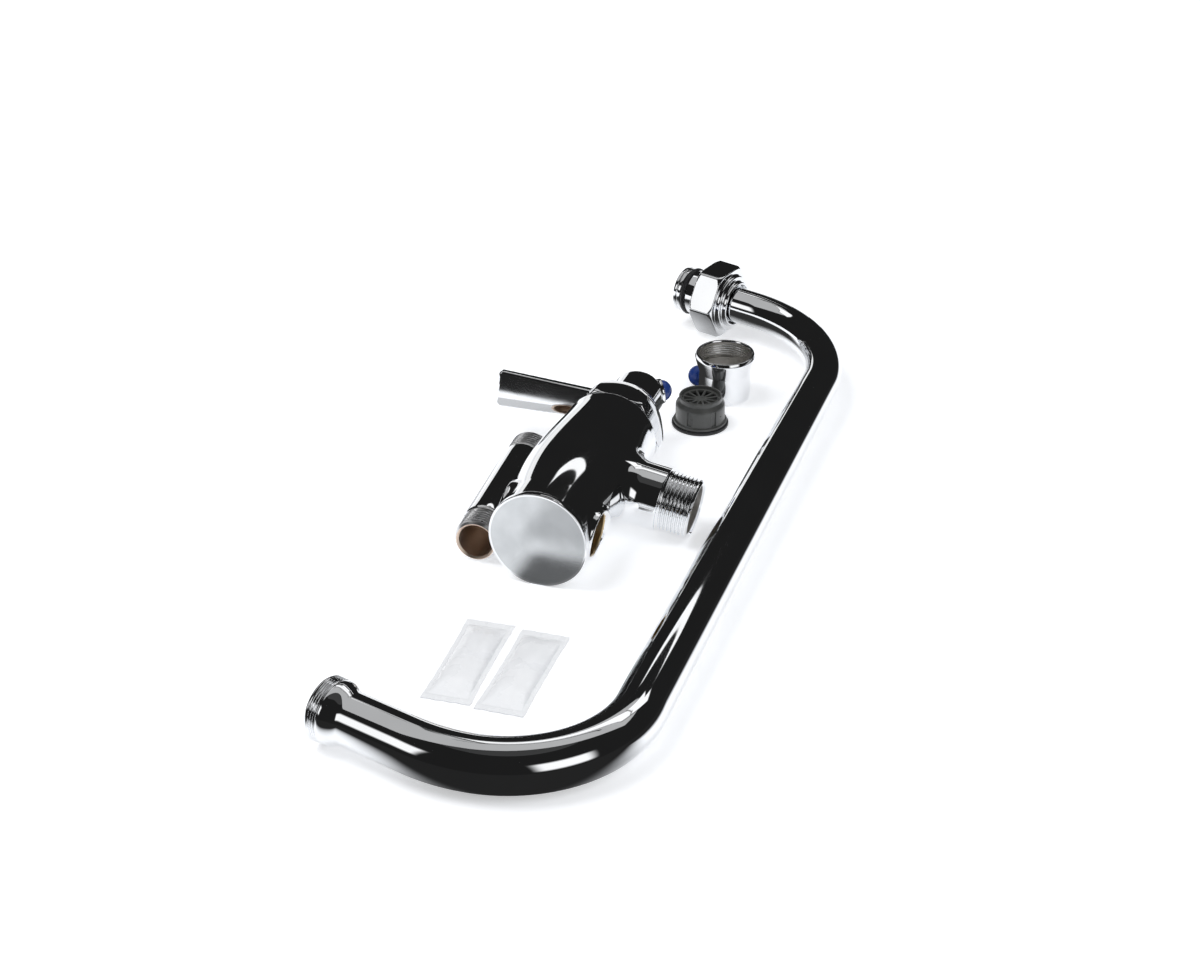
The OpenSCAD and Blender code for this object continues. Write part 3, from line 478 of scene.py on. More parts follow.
STEP = 0.42         # mesh size of the rounded metal forms
V, F, N = net(valve_sdf, (-21, -18.5, 1.6), (31, 18.5, 80), STEP)
x, y, z = V[np.array(F)[:, 0]].T
in_tap = (np.hypot(y, z - PORT_AT) < 7.9) & (np.abs(x) < 17.2)
in_socket = (np.hypot(y, z - OUTLET_AT) < 9.6) & (x > 0)
bare = in_tap | in_socket | (np.hypot(x, y) < 12.3)         # the bores show the cast brass
make("valve_casting", V, F, VALVE, [CHROME, CAST], "valve", ("valve_body",), N, bare)

# The spun disk, its face very slightly dished inside a bright rim
DISH, FACE_R, FACE_ROWS, DISK_SEG = 0.7, 17.15, 24, 192
face = [(FACE_R * k / FACE_ROWS, 0.05 + DISH * (1 - (k / FACE_ROWS) ** 2)) for k in range(FACE_ROWS + 1)]
rim = soft([(FACE_R, 0.05), (17.4, 0.0, 0.1), (DISK_R, 0.0, 0.7), (DISK_R, DISK_T, 0.7), (14.0, 3.0)],
           closed=False)
V, F, W = merge(lathe(face, DISK_SEG, closed=False), lathe(rim, DISK_SEG, closed=False))
make("valve_disk", V, [f[::-1] for f in F], VALVE, [DISK_FACE, CHROME], "valve", ("valve_body",),
     which=W, sharp=25)

# Threaded end of the outlet
PIPE_PITCH = 1.41                           # 18 threads to the inch
zone = spread([(THREAD_R, OUTLET_REACH - 0.6), (THREAD_R, OUTLET_REACH - THREAD_LEN)], 0.11)
end = (soft([(SOCKET_R, OUTLET_REACH - 17), (SOCKET_R, OUTLET_REACH - 0.8),
             (SOCKET_R + 0.8, OUTLET_REACH, 0.15), (THREAD_R - 0.75, OUTLET_REACH, 0.15),
             (THREAD_R, OUTLET_REACH - 0.6)], closed=False)
       + zone[1:] + [(OUTLET_NECK_R - 0.9, OUTLET_REACH - THREAD_LEN - 0.4)])
V, F = lathe(end, 200, closed=False,
             shape=thread(OUTLET_REACH - THREAD_LEN + 0.6, OUTLET_REACH - 1.2, PIPE_PITCH, 0.72, THREAD_R))
R, Z = corners(V, F)
inner = (R[:, 0] < SOCKET_R + 0.1) & (Z[:, 0] < OUTLET_REACH - 1)
make("outlet_thread", V, [f[::-1] for f in F], VALVE @ Matrix.Translation((0, 0, OUTLET_AT)) @ ALONG_X,
     [CHROME, INSIDE], "valve", ("valve_body",), which=inner, sharp=40)

# Collar and thread that carry the bonnet nut
V, F = lathe([(12.0, 79), (14.4, 79), (14.4, 87.9), (12.0, 87.9)], 128)
make("bonnet_collar", V, [f[::-1] for f in F], VALVE, [CAST], "valve", ("valve_body",))


# -------- nuts
def hexagon(x, y, apothem, turn, r):
    """Distance to a hexagon prism, its first flat turned by that many degrees and its corners rounded."""
    d = None
    for k in range(6):
        a = math.radians(turn + 60 * k)
        e = x * math.cos(a) + y * math.sin(a) - apothem
        d = e if d is None else smax(d, e, r)
    return d


def facing(r, z, r0, z0, r1, z1):
    """Distance to the cone through two profile points, positive outside."""
    n = np.array([z1 - z0, -(r1 - r0)], float)
    n /= np.linalg.norm(n)
    return (r - r0) * n[0] + (z - z0) * n[1]


BONNET_AT, BONNET_HALF_FLATS, BONNET_CORNER_R, BONNET_H = 80.1, 16.5, 19.06, 15.6
BONNET_BORE_R, BONNET_BORE_DEPTH, BONNET_EYE_R = 14.55, 9.9, 6.7


def bonnet_sdf(x, y, z):
    """Distance to the bonnet nut: a hexagon whose crown is turned down to a cone."""
    z = z - BONNET_AT
    r = np.hypot(x, y)
    d = hexagon(x, y, BONNET_HALF_FLATS, 30, 0.7)
    d = smax(d, facing(r, z, BONNET_CORNER_R, 8.4, 14.9, 15.4), 2.6)
    d = smax(d, facing(r, z, 18.0, 0.0, BONNET_CORNER_R, 1.0), 0.5)
    d = smax(d, z - BONNET_H, 1.3)
    d = smax(d, -z, 0.3)
    hole = np.maximum(r - BONNET_BORE_R, z - BONNET_BORE_DEPTH)
    hole = np.minimum(hole, r - BONNET_EYE_R)
    return smax(d, -hole, 0.3)


V, F, N = net(bonnet_sdf, (-19.2, -19.2, 80), (19.2, 19.2, 95.8), STEP)
make("bonnet_nut_form", V, F, VALVE, [CHROME], "valve", ("bonnet_nut",), N)


# -------- lever
LEVER_AT, HUB_MID, REST = 96.7, 16.5, math.radians(-8)
HUB_R, HUB_H = 9.9, 20.5
BLADE_LEN, BLADE_T, BLADE_UP = 52.0, 5.0, 1.6
BLADE_HALF_ROOT, BLADE_GROWTH = 5.0, 2.0    # half width at the axis, and what it gains by the tip
EDGE_TURN = math.atan((14.0 - 10.0) / 2 / BLADE_LEN)
WEDGE_FLAT = 2.7                            # width along the thick edge that stays flat
WEDGE_SLOPE = 3.0 / (14.0 + 2 - WEDGE_FLAT)
BOSS_HEADING, BOSS_RISE = math.radians(10), math.radians(60)
BOSS_R, BOSS_LEN, POCKET_R, POCKET_FLOOR = 4.9, 9.8, 4.12, 8.8
SCREW_R, SQUARE_HALF, SQUARE_TOP = 2.55, 2.75, 18.6


def lever_sdf(x, y, z):
    """Distance to the lever: a hub, a wedge blade and the slanted boss of the index button."""
    z = z - LEVER_AT
    c, s = math.cos(-REST), math.sin(-REST)
    u, w = c * x - s * y, s * x + c * y
    r = np.hypot(u, w)
    hub = smax(r - HUB_R, z - HUB_H, 3.4)
    hub = smax(hub, -z, 0.5)
    h = z - BLADE_UP
    half = BLADE_HALF_ROOT + BLADE_GROWTH * np.clip(-u, -8, 60) / BLADE_LEN
    across = (5.0 - w) * math.cos(EDGE_TURN) + (-u) * math.sin(EDGE_TURN)
    plan = smax(smax(w - half, -w - half, 0.6), -u - BLADE_LEN, 1.9)
    plan = np.maximum(plan, u)
    low = smax(-h, (WEDGE_SLOPE * (across - WEDGE_FLAT) - h) / math.hypot(1, WEDGE_SLOPE), 0.4)
    blade = smax(plan, smax(low, h - BLADE_T, 0.7), 0.7)
    d = smin(hub, blade, 1.4)
    ca, sa = math.cos(BOSS_HEADING), math.sin(BOSS_HEADING)
    bx, by = ca * u - sa * w, sa * u + ca * w
    bz = z - HUB_MID
    ct, st = math.cos(BOSS_RISE), math.sin(BOSS_RISE)
    axial = st * bx + ct * bz
    side = ct * bx - st * bz
    rb = np.hypot(side, by)
    boss = smax(rb - BOSS_R, axial - BOSS_LEN, 0.35)
    boss = np.maximum(boss, -axial)
    d = smin(d, boss, 0.7)
    pocket = np.maximum(rb - POCKET_R, POCKET_FLOOR - axial)
    screw = np.maximum(rb - SCREW_R, -axial)
    square = smax(np.abs(u) - SQUARE_HALF, np.abs(w) - SQUARE_HALF, 0.2)
    square = np.maximum(square, z - SQUARE_TOP)
    return smax(smax(d, -np.minimum(pocket, screw), 0.25), -square, 0.2)


V, F, N = net(lever_sdf, (-53, -17, 96.4), (14.5, 17, 117.6), STEP)
make("lever_form", V, F, VALVE, [CHROME], "lever", ("lever_handle",), N)

# Index button: a shallow dome on a short skirt, with a pin below
BUTTON = (VALVE @ Matrix.Translation((0, 0, LEVER_AT + HUB_MID))
          @ Matrix.Rotation(math.radians(-18), 4, "Z") @ Matrix.Rotation(BOSS_RISE, 4, "Y"))
BUTTON_R, BUTTON_H, DOME_STEPS = 4.1, 3.4, 16
dome_r = (BUTTON_R ** 2 + BUTTON_H ** 2) / (2 * BUTTON_H)
lean = math.asin(BUTTON_R / dome_r)
arc = [(dome_r * math.sin(lean * k / DOME_STEPS), BUTTON_H - dome_r * (1 - math.cos(lean * k / DOME_STEPS)))
       for k in range(DOME_STEPS)]
button = arc + [(4.02, 0.12), (4.08, -0.1), (4.08, -0.98), (1.0, -1.0), (1.0, -2.9), (0.7, -3.0), (0, -3.0)]


def place_button(name, matrix, body, stands_for):
    V, F = lathe(button, 96, closed=False)
    make(name, V, F, matrix, [BLUE], body, (stands_for,), sharp=38)


place_button("button_dome", BUTTON @ Matrix.Translation((0, 0, BOSS_LEN)), "lever", "index_button")
place_button("spare_button_dome",
             upright(9.0, 162.5, 4.1) @ Matrix.Rotation(math.radians(15), 4, "Z")
             @ Matrix.Rotation(math.radians(-90), 4, "Y"), "spare_button", "spare_index_button")

# -------- spout
OUT_R, IN_R, WALL = 9.15, 7.4, 1.25
BIG, ENTRY = math.radians(105.8), math.radians(18.8)
ENTRY_BEND, BIG_BEND, SMALL_BEND = 58.0, 43.6, 56.0
LEG, INLET_TOTAL, RUN = 34.0, 8.3 + 1.2 + 0.1 + 0.6 + 1.8 + 2.0, 229.16639
AT_R, AT_LEN, BELL = 10.9, 4.6, 7.0         # the aerator's thread and the bell behind it


def centre_line(step):
    """Points, headings and radii down the middle of the tube, from the ferrule to the swivel."""
    pts = []

    def straight(p, a, length, r0, r1, first=0.0):
        n = max(2, math.ceil((length - first) / step))
        for k in range(n + 1):
            s = first + (length - first) * k / n
            pts.append((p[0] + s * math.cos(a), p[1] + s * math.sin(a), a, r0 + (r1 - r0) * s / length))
        return p[0] + length * math.cos(a), p[1] + length * math.sin(a)

    def bend(p, a, radius, turn, r):
        n = max(6, math.ceil(radius * turn / step))
        c = (p[0] - radius * math.sin(a), p[1] + radius * math.cos(a))
        for k in range(1, n):
            b = a + turn * k / n
            pts.append((c[0] + radius * math.sin(b), c[1] - radius * math.cos(b), b, r))
        b = a + turn
        return (c[0] + radius * math.sin(b), c[1] - radius * math.cos(b)), b

    p = straight((0, 0), 0, LEG, OUT_R, OUT_R, first=AT_LEN + BELL)
    p, a = bend(p, 0, ENTRY_BEND, ENTRY, OUT_R)
    p, a = bend(p, a, BIG_BEND, BIG - ENTRY, OUT_R)
    p = straight(p, a, RUN, OUT_R, IN_R)
    p, a = bend(p, a, SMALL_BEND, math.pi - BIG, IN_R)
    straight(p, a, INLET_TOTAL, IN_R, IN_R)
    return pts, (p[0] + INLET_TOTAL * math.cos(a), p[1] + INLET_TOTAL * math.sin(a)), a


line, inlet, heading = centre_line(2.2)
SEG = 96


def tube_verts(offset):
    """Rings of points along the centre line, that far outside the tube's surface."""
    th = np.linspace(0, 2 * math.pi, SEG, endpoint=False)
    rows = []
    for x, y, a, r in line:
        rr = r + offset
        rows.append(np.stack([x + rr * np.cos(th) * math.sin(a), y - rr * np.cos(th) * math.cos(a),
                              rr * np.sin(th)], -1))
    return np.concatenate(rows)


def tube_faces(rings, base, inward):
    """Quads between neighbouring rings, facing outwards or, for the bore, inwards."""
    out = []
    for i in range(rings - 1):
        here, there = base + i * SEG, base + (i + 1) * SEG
        for k in range(SEG):
            m = (k + 1) % SEG
            quad = (here + k, here + m, there + m, there + k)
            out.append((quad[0], quad[3], quad[2], quad[1]) if inward else quad)
    return out


n = len(line)
outside, bore = tube_faces(n, 0, False), tube_faces(n, n * SEG, True)
make("spout_pipe", np.concatenate([tube_verts(0), tube_verts(-WALL)]), outside + bore, SPOUT,
     [CHROME, INSIDE], "spout", ("spout_tube",), which=[0] * len(outside) + [1] * len(bore))

# Ferrule: aerator thread, then a bell that runs down to the tube
AERATOR_PITCH, BELL_ROWS = 0.94, 20         # 27 threads to the inch
bell = [(OUT_R + (AT_R - OUT_R) * (0.5 + 0.5 * math.cos(math.pi * k / BELL_ROWS)) ** 1.25,
         AT_LEN + 0.25 + (BELL - 0.25) * k / BELL_ROWS) for k in range(BELL_ROWS + 1)]
head = soft([(OUT_R - WALL, AT_LEN + BELL), (OUT_R - WALL, 0.0, 0.4), (AT_R - 0.1, 0.0, 0.35),
             (AT_R, 0.5)], closed=False)
prof = head + spread([(AT_R, 0.5), (AT_R, AT_LEN + 0.1)], 0.08)[1:] + bell
V, F = lathe(prof, 200, closed=False, shape=thread(1.0, AT_LEN - 0.3, AERATOR_PITCH, 0.5, AT_R))
R, Z = corners(V, F)
inner = R[:, 0] < OUT_R - WALL + 0.05
make("spout_ferrule", V, F, SPOUT @ ALONG_X, [CHROME, INSIDE], "spout", ("outlet_ferrule",),
     which=inner, sharp=40)

# -------- swivel
SWIVEL = (SPOUT @ Matrix.Translation((inlet[0], inlet[1], 0)) @ Matrix.Rotation(heading, 4, "Z") @ ALONG_X)
PLUG_R, PLUG_LEN, GROOVE_R, SHOULDER_R = 9.2, 20.4, 7.4, 9.9
bore_r = IN_R - WALL
plug = soft([(bore_r, 0), (IN_R + 0.02, 0), (IN_R + 0.02, -3.9), (8.3, -3.9, 0.3), (8.3, 0),
             (SHOULDER_R, 0, 0.3), (SHOULDER_R, 2.4, 0.4), (PLUG_R, 2.4), (PLUG_R, 14.4, 0.2),
             (GROOVE_R, 14.4, 0.2), (GROOVE_R, 17.0, 0.2), (PLUG_R, 17.0, 0.25), (PLUG_R, 18.3, 0.2),
             (8.95, 18.5, 0.15), (8.95, 18.75, 0.15), (PLUG_R, 18.95, 0.2),
             (PLUG_R, PLUG_LEN, 0.5), (bore_r + 0.2, PLUG_LEN, 0.4)])
V, F = lathe(plug, 160)
make("swivel_plug_form", V, F, SWIVEL, [CHROME], "spout", ("swivel_plug",), sharp=36)

# The plug's rubber ring
RING_R, RING_CORD, RING_AT = 8.6, 1.2, 15.7
prof = [(RING_R + RING_CORD * math.cos(a), RING_CORD * math.sin(a))
        for a in np.linspace(0, 2 * math.pi, 28, endpoint=False)]
V, F = lathe(prof, 144)
make("plug_ring", V, [f[::-1] for f in F], SWIVEL @ Matrix.Translation((0, 0, RING_AT)), [RUBBER], "spout",
     ("plug_o_ring",), sharp=60)

NUT_BACK = -1.2 - 0.1 - 0.6 - 1.8 - 2.0     # shoulder, gap, washer, rear wall and collar
NUT_HALF_FLATS, NUT_CORNER_R, HEX_FROM, HEX_H = 13.5, 15.59, 3.8, 11.0
COLLAR_R, NUT_BACK_R, NUT_BORE_R, NUT_EYE_R, NUT_FLOOR = 11.7, 9.5, 10.45, 8.36, 4.4


def nut_sdf(x, y, z):
    """Distance to the swivel nut: a hexagon, a round collar and a narrower back, all bored."""
    z = z - NUT_BACK
    r = np.hypot(x, y)
    h = z - HEX_FROM
    hexa = hexagon(x, y, NUT_HALF_FLATS, 0, 0.6)
    hexa = smax(hexa, facing(r, h, NUT_CORNER_R, 10.0, 14.2, HEX_H), 0.5)
    hexa = smax(hexa, facing(r, h, 14.4, 0.0, NUT_CORNER_R, 1.3), 0.5)
    hexa = smax(smax(hexa, h - HEX_H, 0.5), -h, 0.4)
    collar = smax(smax(r - COLLAR_R, z - NUT_FLOOR, 0.5), 1.9 - z, 0.7)
    back = smax(smax(r - NUT_BACK_R, z - NUT_FLOOR, 0.5), -z, 0.5)
    d = smin(smin(hexa, collar, 0.5), back, 0.5)
    hole = np.maximum(r - NUT_BORE_R, NUT_FLOOR - z)
    hole = np.minimum(hole, r - NUT_EYE_R)
    return smax(d, -hole, 0.35)


V, F, N = net(nut_sdf, (-15.7, -15.7, NUT_BACK), (15.7, 15.7, NUT_BACK + 14.8), STEP * 0.8)
make("swivel_nut_form", V, F, SWIVEL, [CHROME], "spout_nut", ("swivel_nut",), N)

# -------- nipple
NIP_L, NIP_R, NIP_T, NIP_TL = 69.9, 8.35, 8.0, 11.0     # length, body, thread crest, thread length
NIP_BORE_R, NIP_DEPTH = 6.25, 0.78


def nipple_profile():
    """Both ends, both threads, the body and the bore, with steps fine enough for the ridges."""
    left = soft([(NIP_BORE_R, 0.65), (6.9, 0.0, 0.1), (7.1, 0.0, 0.1), (NIP_T, 1.0)], closed=False)
    t1 = spread([(NIP_T, 1.0), (NIP_T, NIP_TL)], 0.12)[1:]
    body = soft([(NIP_T, NIP_TL), (NIP_R, NIP_TL + 0.5, 0.4), (NIP_R, NIP_L - NIP_TL - 0.5, 0.4),
                 (NIP_T, NIP_L - NIP_TL)], closed=False)[1:]
    body = spread(body, 4.0)
    t2 = spread([(NIP_T, NIP_L - NIP_TL), (NIP_T, NIP_L - 1.0)], 0.12)[1:]
    right = [(7.1, NIP_L), (6.9, NIP_L), (NIP_BORE_R, NIP_L - 0.65)]
    bore = spread([(NIP_BORE_R, NIP_L - 0.65), (NIP_BORE_R, 0.65)], 5.0)[1:-1]
    return left + t1 + body + t2 + right + bore


def both_threads(T, R, Z):
    R2 = thread(0.9, NIP_TL - 0.8, PIPE_PITCH, NIP_DEPTH, NIP_T)(T, R, Z)
    return thread(NIP_L - NIP_TL + 0.8, NIP_L - 0.9, PIPE_PITCH, NIP_DEPTH, NIP_T)(T, R2, Z)


V, F = lathe(nipple_profile(), 160, shape=both_threads)
R, Z = corners(V, F)
in_thread = np.abs(Z[:, 0] - NIP_L / 2) > NIP_L / 2 - NIP_TL + 0.3
inner = np.where(R.max(1) < 7.2, 1, np.where(in_thread, 2, 0))
NIPPLE = upright(-25.9, 7.4, NIP_R) @ Matrix.Rotation(math.radians(93.2), 4, "Z") @ ALONG_X
make("nipple_form", V, [f[::-1] for f in F], NIPPLE, [CHROME, BRASS, CUT], "nipple", ("riser_nipple",),
     which=inner, sharp=40)

# -------- aerator
# The shell: female thread in its flared end, a bore that takes the insert, and a lip at the bottom
SHELL = upright(21.9, 157.3)
SHELL_BORE_R, SHELL_THREAD_R, SHELL_H, SHELL_STEP = 9.7, 10.45, 19.0, 12.2
shell = soft([(8.4, 0), (9.9, 0, 0.2), (10.3, 0.4, 0.3), (10.3, 11.4, 1.0), (11.5, 16.2, 0.8),
              (11.8, 17.6, 1.0), (11.35, SHELL_H, 1.0), (10.8, SHELL_H, 0.25), (SHELL_THREAD_R, 18.4)],
             closed=False, steps=6)
shell = shell + spread([(SHELL_THREAD_R, 18.4), (SHELL_THREAD_R, SHELL_STEP)], 0.08)[1:] + soft(
    [(SHELL_THREAD_R, SHELL_STEP), (SHELL_BORE_R, SHELL_STEP, 0.1), (SHELL_BORE_R, 1.0, 0.3),
     (8.4, 1.0, 0.1), (8.4, 0)], closed=False)[1:]
V, F = lathe(shell, 200, closed=False,
             shape=thread(12.9, 17.6, AERATOR_PITCH, 0.12, SHELL_THREAD_R, outer=False))
R, Z = corners(V, F)
first_r, first_z = R[:, 0], Z[:, 0]
inner = ((R.max(1) < 10.9) & (R.min(1) < 10.5) & (first_z > 0.9) & (first_z < 18.3)
         & ((first_r < 10.25) | (first_z > 12.1)))
make("shell_form", V, [f[::-1] for f in F], SHELL, [CHROME, INSIDE], "shell", ("aerator_shell",),
     which=inner, sharp=40)

# The insert stands on its rubber washer
INSERT = upright(19.5, 131.8)
WASHER_R, WASHER_BORE_R, WASHER_T = 11.0, 7.9, 1.4
V, F = lathe(soft([(WASHER_BORE_R, 0), (WASHER_R, 0, 0.35), (WASHER_R, WASHER_T, 0.5),
                   (WASHER_BORE_R, WASHER_T, 0.2)]), 144)
make("washer_form", V, [f[::-1] for f in F], INSERT, [RUBBER], "insert", ("aerator_washer",))

DRUM_R, FOOT_R, LIP_R, EYE_R = 9.55, 10.35, 8.3, 7.5


def drum_sdf(x, y, z):
    """Distance to the insert's drum: six flutes round its side, a foot flange and a narrower lip."""
    z = z - WASHER_T
    r = np.hypot(x, y)
    th = np.arctan2(y, x)
    drum = smax(smax(r - DRUM_R, facing(r, z, DRUM_R, 7.6, 8.5, 8.9), 0.35), -z, 0.1)
    drum = smax(drum, z - 9.0, 0.3)
    foot = smax(smax(r - FOOT_R, z - 1.1, 0.3), -z, 0.2)
    lip = smax(smax(r - LIP_R, z - 11.0, 0.35), -z, 0.1)
    d = smin(smin(drum, foot, 0.35), lip, 0.45)
    a = (th - math.radians(20)) % math.radians(60) - math.radians(30)
    a = np.where(a < 0, a + math.radians(30), a - math.radians(30))
    notch = np.maximum(np.abs(np.sin(a)) * r - 0.9, 9.05 - r)
    notch = smax(smax(notch, 1.5 - z, 0.2), z - 7.4, 0.2)
    d = smax(d, -notch, 0.2)
    return smax(d, -(r - EYE_R), 0.25)


V, F, N = net(drum_sdf, (-10.4, -10.4, 1.3), (10.4, 10.4, 12.5), 0.26)
make("insert_drum", V, F, INSERT, [PLASTIC], "insert", ("insert_housing",), N)

SPOKES_UP, SPOKES, HUB_SPOT_R = 8.6, 12, 2.0


def spokes_sdf(x, y, z):
    """Distance to the insert's top disc: a rim, a hub and the spokes between them."""
    z = z - WASHER_T - SPOKES_UP
    r = np.hypot(x, y)
    th = np.arctan2(y, x)
    cell = math.radians(360 / SPOKES)
    a = (th + cell / 2) % cell - cell / 2
    bar = smax(np.abs(np.sin(a)) * r - 0.4, r - 7.2, 0.1)
    rim = smax(r - EYE_R, 6.5 - r, 0.2)
    hub = r - HUB_SPOT_R
    d = smin(smin(bar, rim, 0.3), hub, 0.4)
    dish = 0.5 * np.clip(1 - r / EYE_R, 0, 1)
    return smax(smax(d, z - 1.2 + dish, 0.2), -z, 0.1)


V, F, N = net(spokes_sdf, (-7.6, -7.6, 9.9), (7.6, 7.6, 11.3), 0.22)
make("insert_spokes", V, F, INSERT, [PLASTIC], "insert", ("insert_spoke_disc",), N)


# -------- sachets
SACHET_W, SACHET_LEN, SACHET_SEAL, SACHET_T = 17.0, 49.0, 3.0, 3.2


def sachet(name, at, heading, seed, stands_for, body):
    """A filled film sachet: thin sealed margins with pressed ribs, and a pillow that slumps."""
    w, length, seal, top = SACHET_W, SACHET_LEN, SACHET_SEAL, SACHET_T
    nx, ny = ((90, 210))
    xs, ys = np.linspace(-w / 2, w / 2, nx + 1), np.linspace(-length / 2, length / 2, ny + 1)
    X, Y = np.meshgrid(xs, ys, indexing="ij")
    rng = np.random.default_rng(seed)
    u = np.clip((w / 2 - seal * 0.55 - np.abs(X)) / (w / 2 - seal * 0.55), 0, 1)
    v = np.clip((length / 2 - seal - np.abs(Y)) / 9.0, 0, 1)
    fill = np.sqrt(np.clip(u * (2 - u), 0, 1)) * np.sin(v * math.pi / 2) ** 0.9
    # waves of the film: long creases that start at the seals, and a low place in the middle
    waves = np.zeros_like(X)
    for k in range(9):
        ang = rng.uniform(-0.5, 0.5) + (0 if k % 3 else math.pi / 2)
        f = rng.uniform(0.25, 0.75)
        waves += np.sin((X * math.cos(ang) + Y * math.sin(ang) * 0.4) * f * 2 + rng.uniform(0, 6.28)) / 9
    slump = 0.78 + 0.22 * np.cos((Y / length + rng.uniform(-0.06, 0.06)) * 5.2) * np.cos(X / w * 1.5)
    height = 0.35 + (top - 0.75) * fill * slump + 0.5 * waves * (0.25 + fill) * np.clip(v * 3, 0.15, 1)
    in_seal = np.clip((np.abs(Y) - (length / 2 - seal)) / 0.3, 0, 1)
    height = height * (1 - in_seal) + in_seal * (0.42 + 0.07 * np.sin(Y * 2 * math.pi / 0.75))
    height = np.clip(height, 0.2, top)
    # the outline draws in a little where the pillow is full
    pull = 1 - 0.035 * np.clip(v, 0, 1) + 0.006 * np.sin(Y * 0.9 + seed)
    edge = 0.12 * np.sin(X * 1.3 + seed) * (np.abs(Y) > length / 2 - 0.4)
    top_v = np.stack([X * pull, Y * 0.995 + edge, height], -1).reshape(-1, 3)
    low = 0.04 + 0.5 * (1 - np.clip(fill * 4, 0, 1)) * 0.25
    bottom_v = np.stack([X * pull, Y * 0.995 + edge, np.minimum(low, height - 0.12)], -1).reshape(-1, 3)
    m = ny + 1
    F = [(i * m + j, (i + 1) * m + j, (i + 1) * m + j + 1, i * m + j + 1)
         for i in range(nx) for j in range(ny)]
    b = len(top_v)
    F += [(b + i * m + j, b + i * m + j + 1, b + (i + 1) * m + j + 1, b + (i + 1) * m + j)
          for i in range(nx) for j in range(ny)]
    loop = ([i * m for i in range(nx)] + [nx * m + j for j in range(ny)]
            + [i * m + ny for i in range(nx, 0, -1)] + list(range(ny, 0, -1)))
    F += [(p, b + p, b + q, q) for p, q in zip(loop, loop[1:] + loop[:1])]
    o = make(name, np.concatenate([top_v, bottom_v]), F,
             upright(*at) @ Matrix.Rotation(math.radians(heading), 4, "Z"), [FILM], body, (stands_for,),
             sharp=55)


sachet("sachet_film_a", (-5.6, -52.0), 2.8, 3, "lubricant_sachet_a", "sachet_a")
sachet("sachet_film_b", (13.6, -52.5), 1.2, 8, "lubricant_sachet_b", "sachet_b")

# -------- CAD nodes that stay
KEPT_NODES = {"cartridge_housing": CAST, "housing_o_ring": RUBBER, "seat_seal": RUBBER,
              "fixed_ceramic_disc": CERAMIC, "moving_ceramic_disc": CERAMIC, "cartridge_stem": CAST,
              "stem_o_rings": RUBBER, "stem_clip": STEEL, "handle_set_screw": STEEL,
              "slip_washer": RUBBER, "insert_screens": STEEL}
for name, material in KEPT_NODES.items():
    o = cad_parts[name]
    o.data.materials.clear()
    o.data.materials.append(material)

# -------- floor, world, lights
scene = bpy.context.scene
scene.view_settings.view_transform = "Standard"


def stage_piece(name, verts, faces, material):
    """A piece of the stage, in metres."""
    mesh = bpy.data.meshes.new(name)
    mesh.from_pydata(verts, [], faces)
    mesh.materials.append(material)
    o = bpy.data.objects.new(name, mesh)
    bpy.context.collection.objects.link(o)
    return o


def card(name, corners, material):
    """A flat sheet with four corners."""
    return stage_piece(name, corners, [(0, 1, 2, 3)], material)


def seen_rays(t):
    """1 for rays of the camera and of clear or mirrored views, 0 for the light that falls on things."""
    path = t.nodes.new("ShaderNodeLightPath")
    a = node(t, "ShaderNodeMath", operation="MAXIMUM")
    b = node(t, "ShaderNodeMath", operation="MAXIMUM")
    t.links.new(path.outputs["Is Camera Ray"], a.inputs[0])
    t.links.new(path.outputs["Is Glossy Ray"], a.inputs[1])
    t.links.new(a.outputs[0], b.inputs[0])
    t.links.new(path.outputs["Is Transmission Ray"], b.inputs[1])
    return b.outputs[0]


FLOOR_GLOW, ROOM_LIGHT = 0.42, 0.35         # the floor's own light where it's seen, and the world's


def floor_material():
    """A matt white that glows a little where it's seen, so that it keeps its shadows but reads white."""
    m = bpy.data.materials.new("pale_floor")
    m.use_nodes = True
    t = m.node_tree
    t.nodes.clear()
    out = t.nodes.new("ShaderNodeOutputMaterial")
    dif = node(t, "ShaderNodeBsdfDiffuse", Color=(0.86, 0.87, 0.885, 1))
    glow = node(t, "ShaderNodeEmission", Color=(1, 1, 1, 1), Strength=FLOOR_GLOW)
    add = t.nodes.new("ShaderNodeAddShader")
    mix = t.nodes.new("ShaderNodeMixShader")
    t.links.new(dif.outputs[0], add.inputs[0])
    t.links.new(glow.outputs[0], add.inputs[1])
    t.links.new(seen_rays(t), mix.inputs[0])
    t.links.new(dif.outputs[0], mix.inputs[1])
    t.links.new(add.outputs[0], mix.inputs[2])
    t.links.new(mix.outputs[0], out.inputs[0])
    return m


card("floor", [(-6, -6, 0), (6, -6, 0), (6, 9, 0), (-6, 9, 0)], floor_material())

world = bpy.data.worlds.new("studio")
scene.world = world
world.use_nodes = True
t = world.node_tree
bg = t.nodes["Background"]
bg.inputs["Color"].default_value = (0.93, 0.95, 1, 1)
bg.inputs["Strength"].default_value = ROOM_LIGHT
white = node(t, "ShaderNodeBackground", Color=(1, 1, 1, 1), Strength=1.0)
mix = t.nodes.new("ShaderNodeMixShader")
t.links.new(seen_rays(t), mix.inputs[0])
t.links.new(bg.outputs[0], mix.inputs[1])
t.links.new(white.outputs[0], mix.inputs[2])
t.links.new(mix.outputs[0], t.nodes["World Output"].inputs["Surface"])


def emit(name, value):
    """A white glow of that strength."""
    m = bpy.data.materials.new(name)
    m.use_nodes = True
    t = m.node_tree
    t.nodes.clear()
    out = t.nodes.new("ShaderNodeOutputMaterial")
    e = node(t, "ShaderNodeEmission", Color=(1, 1, 1, 1), Strength=value)
    t.links.new(e.outputs[0], out.inputs[0])
    return m


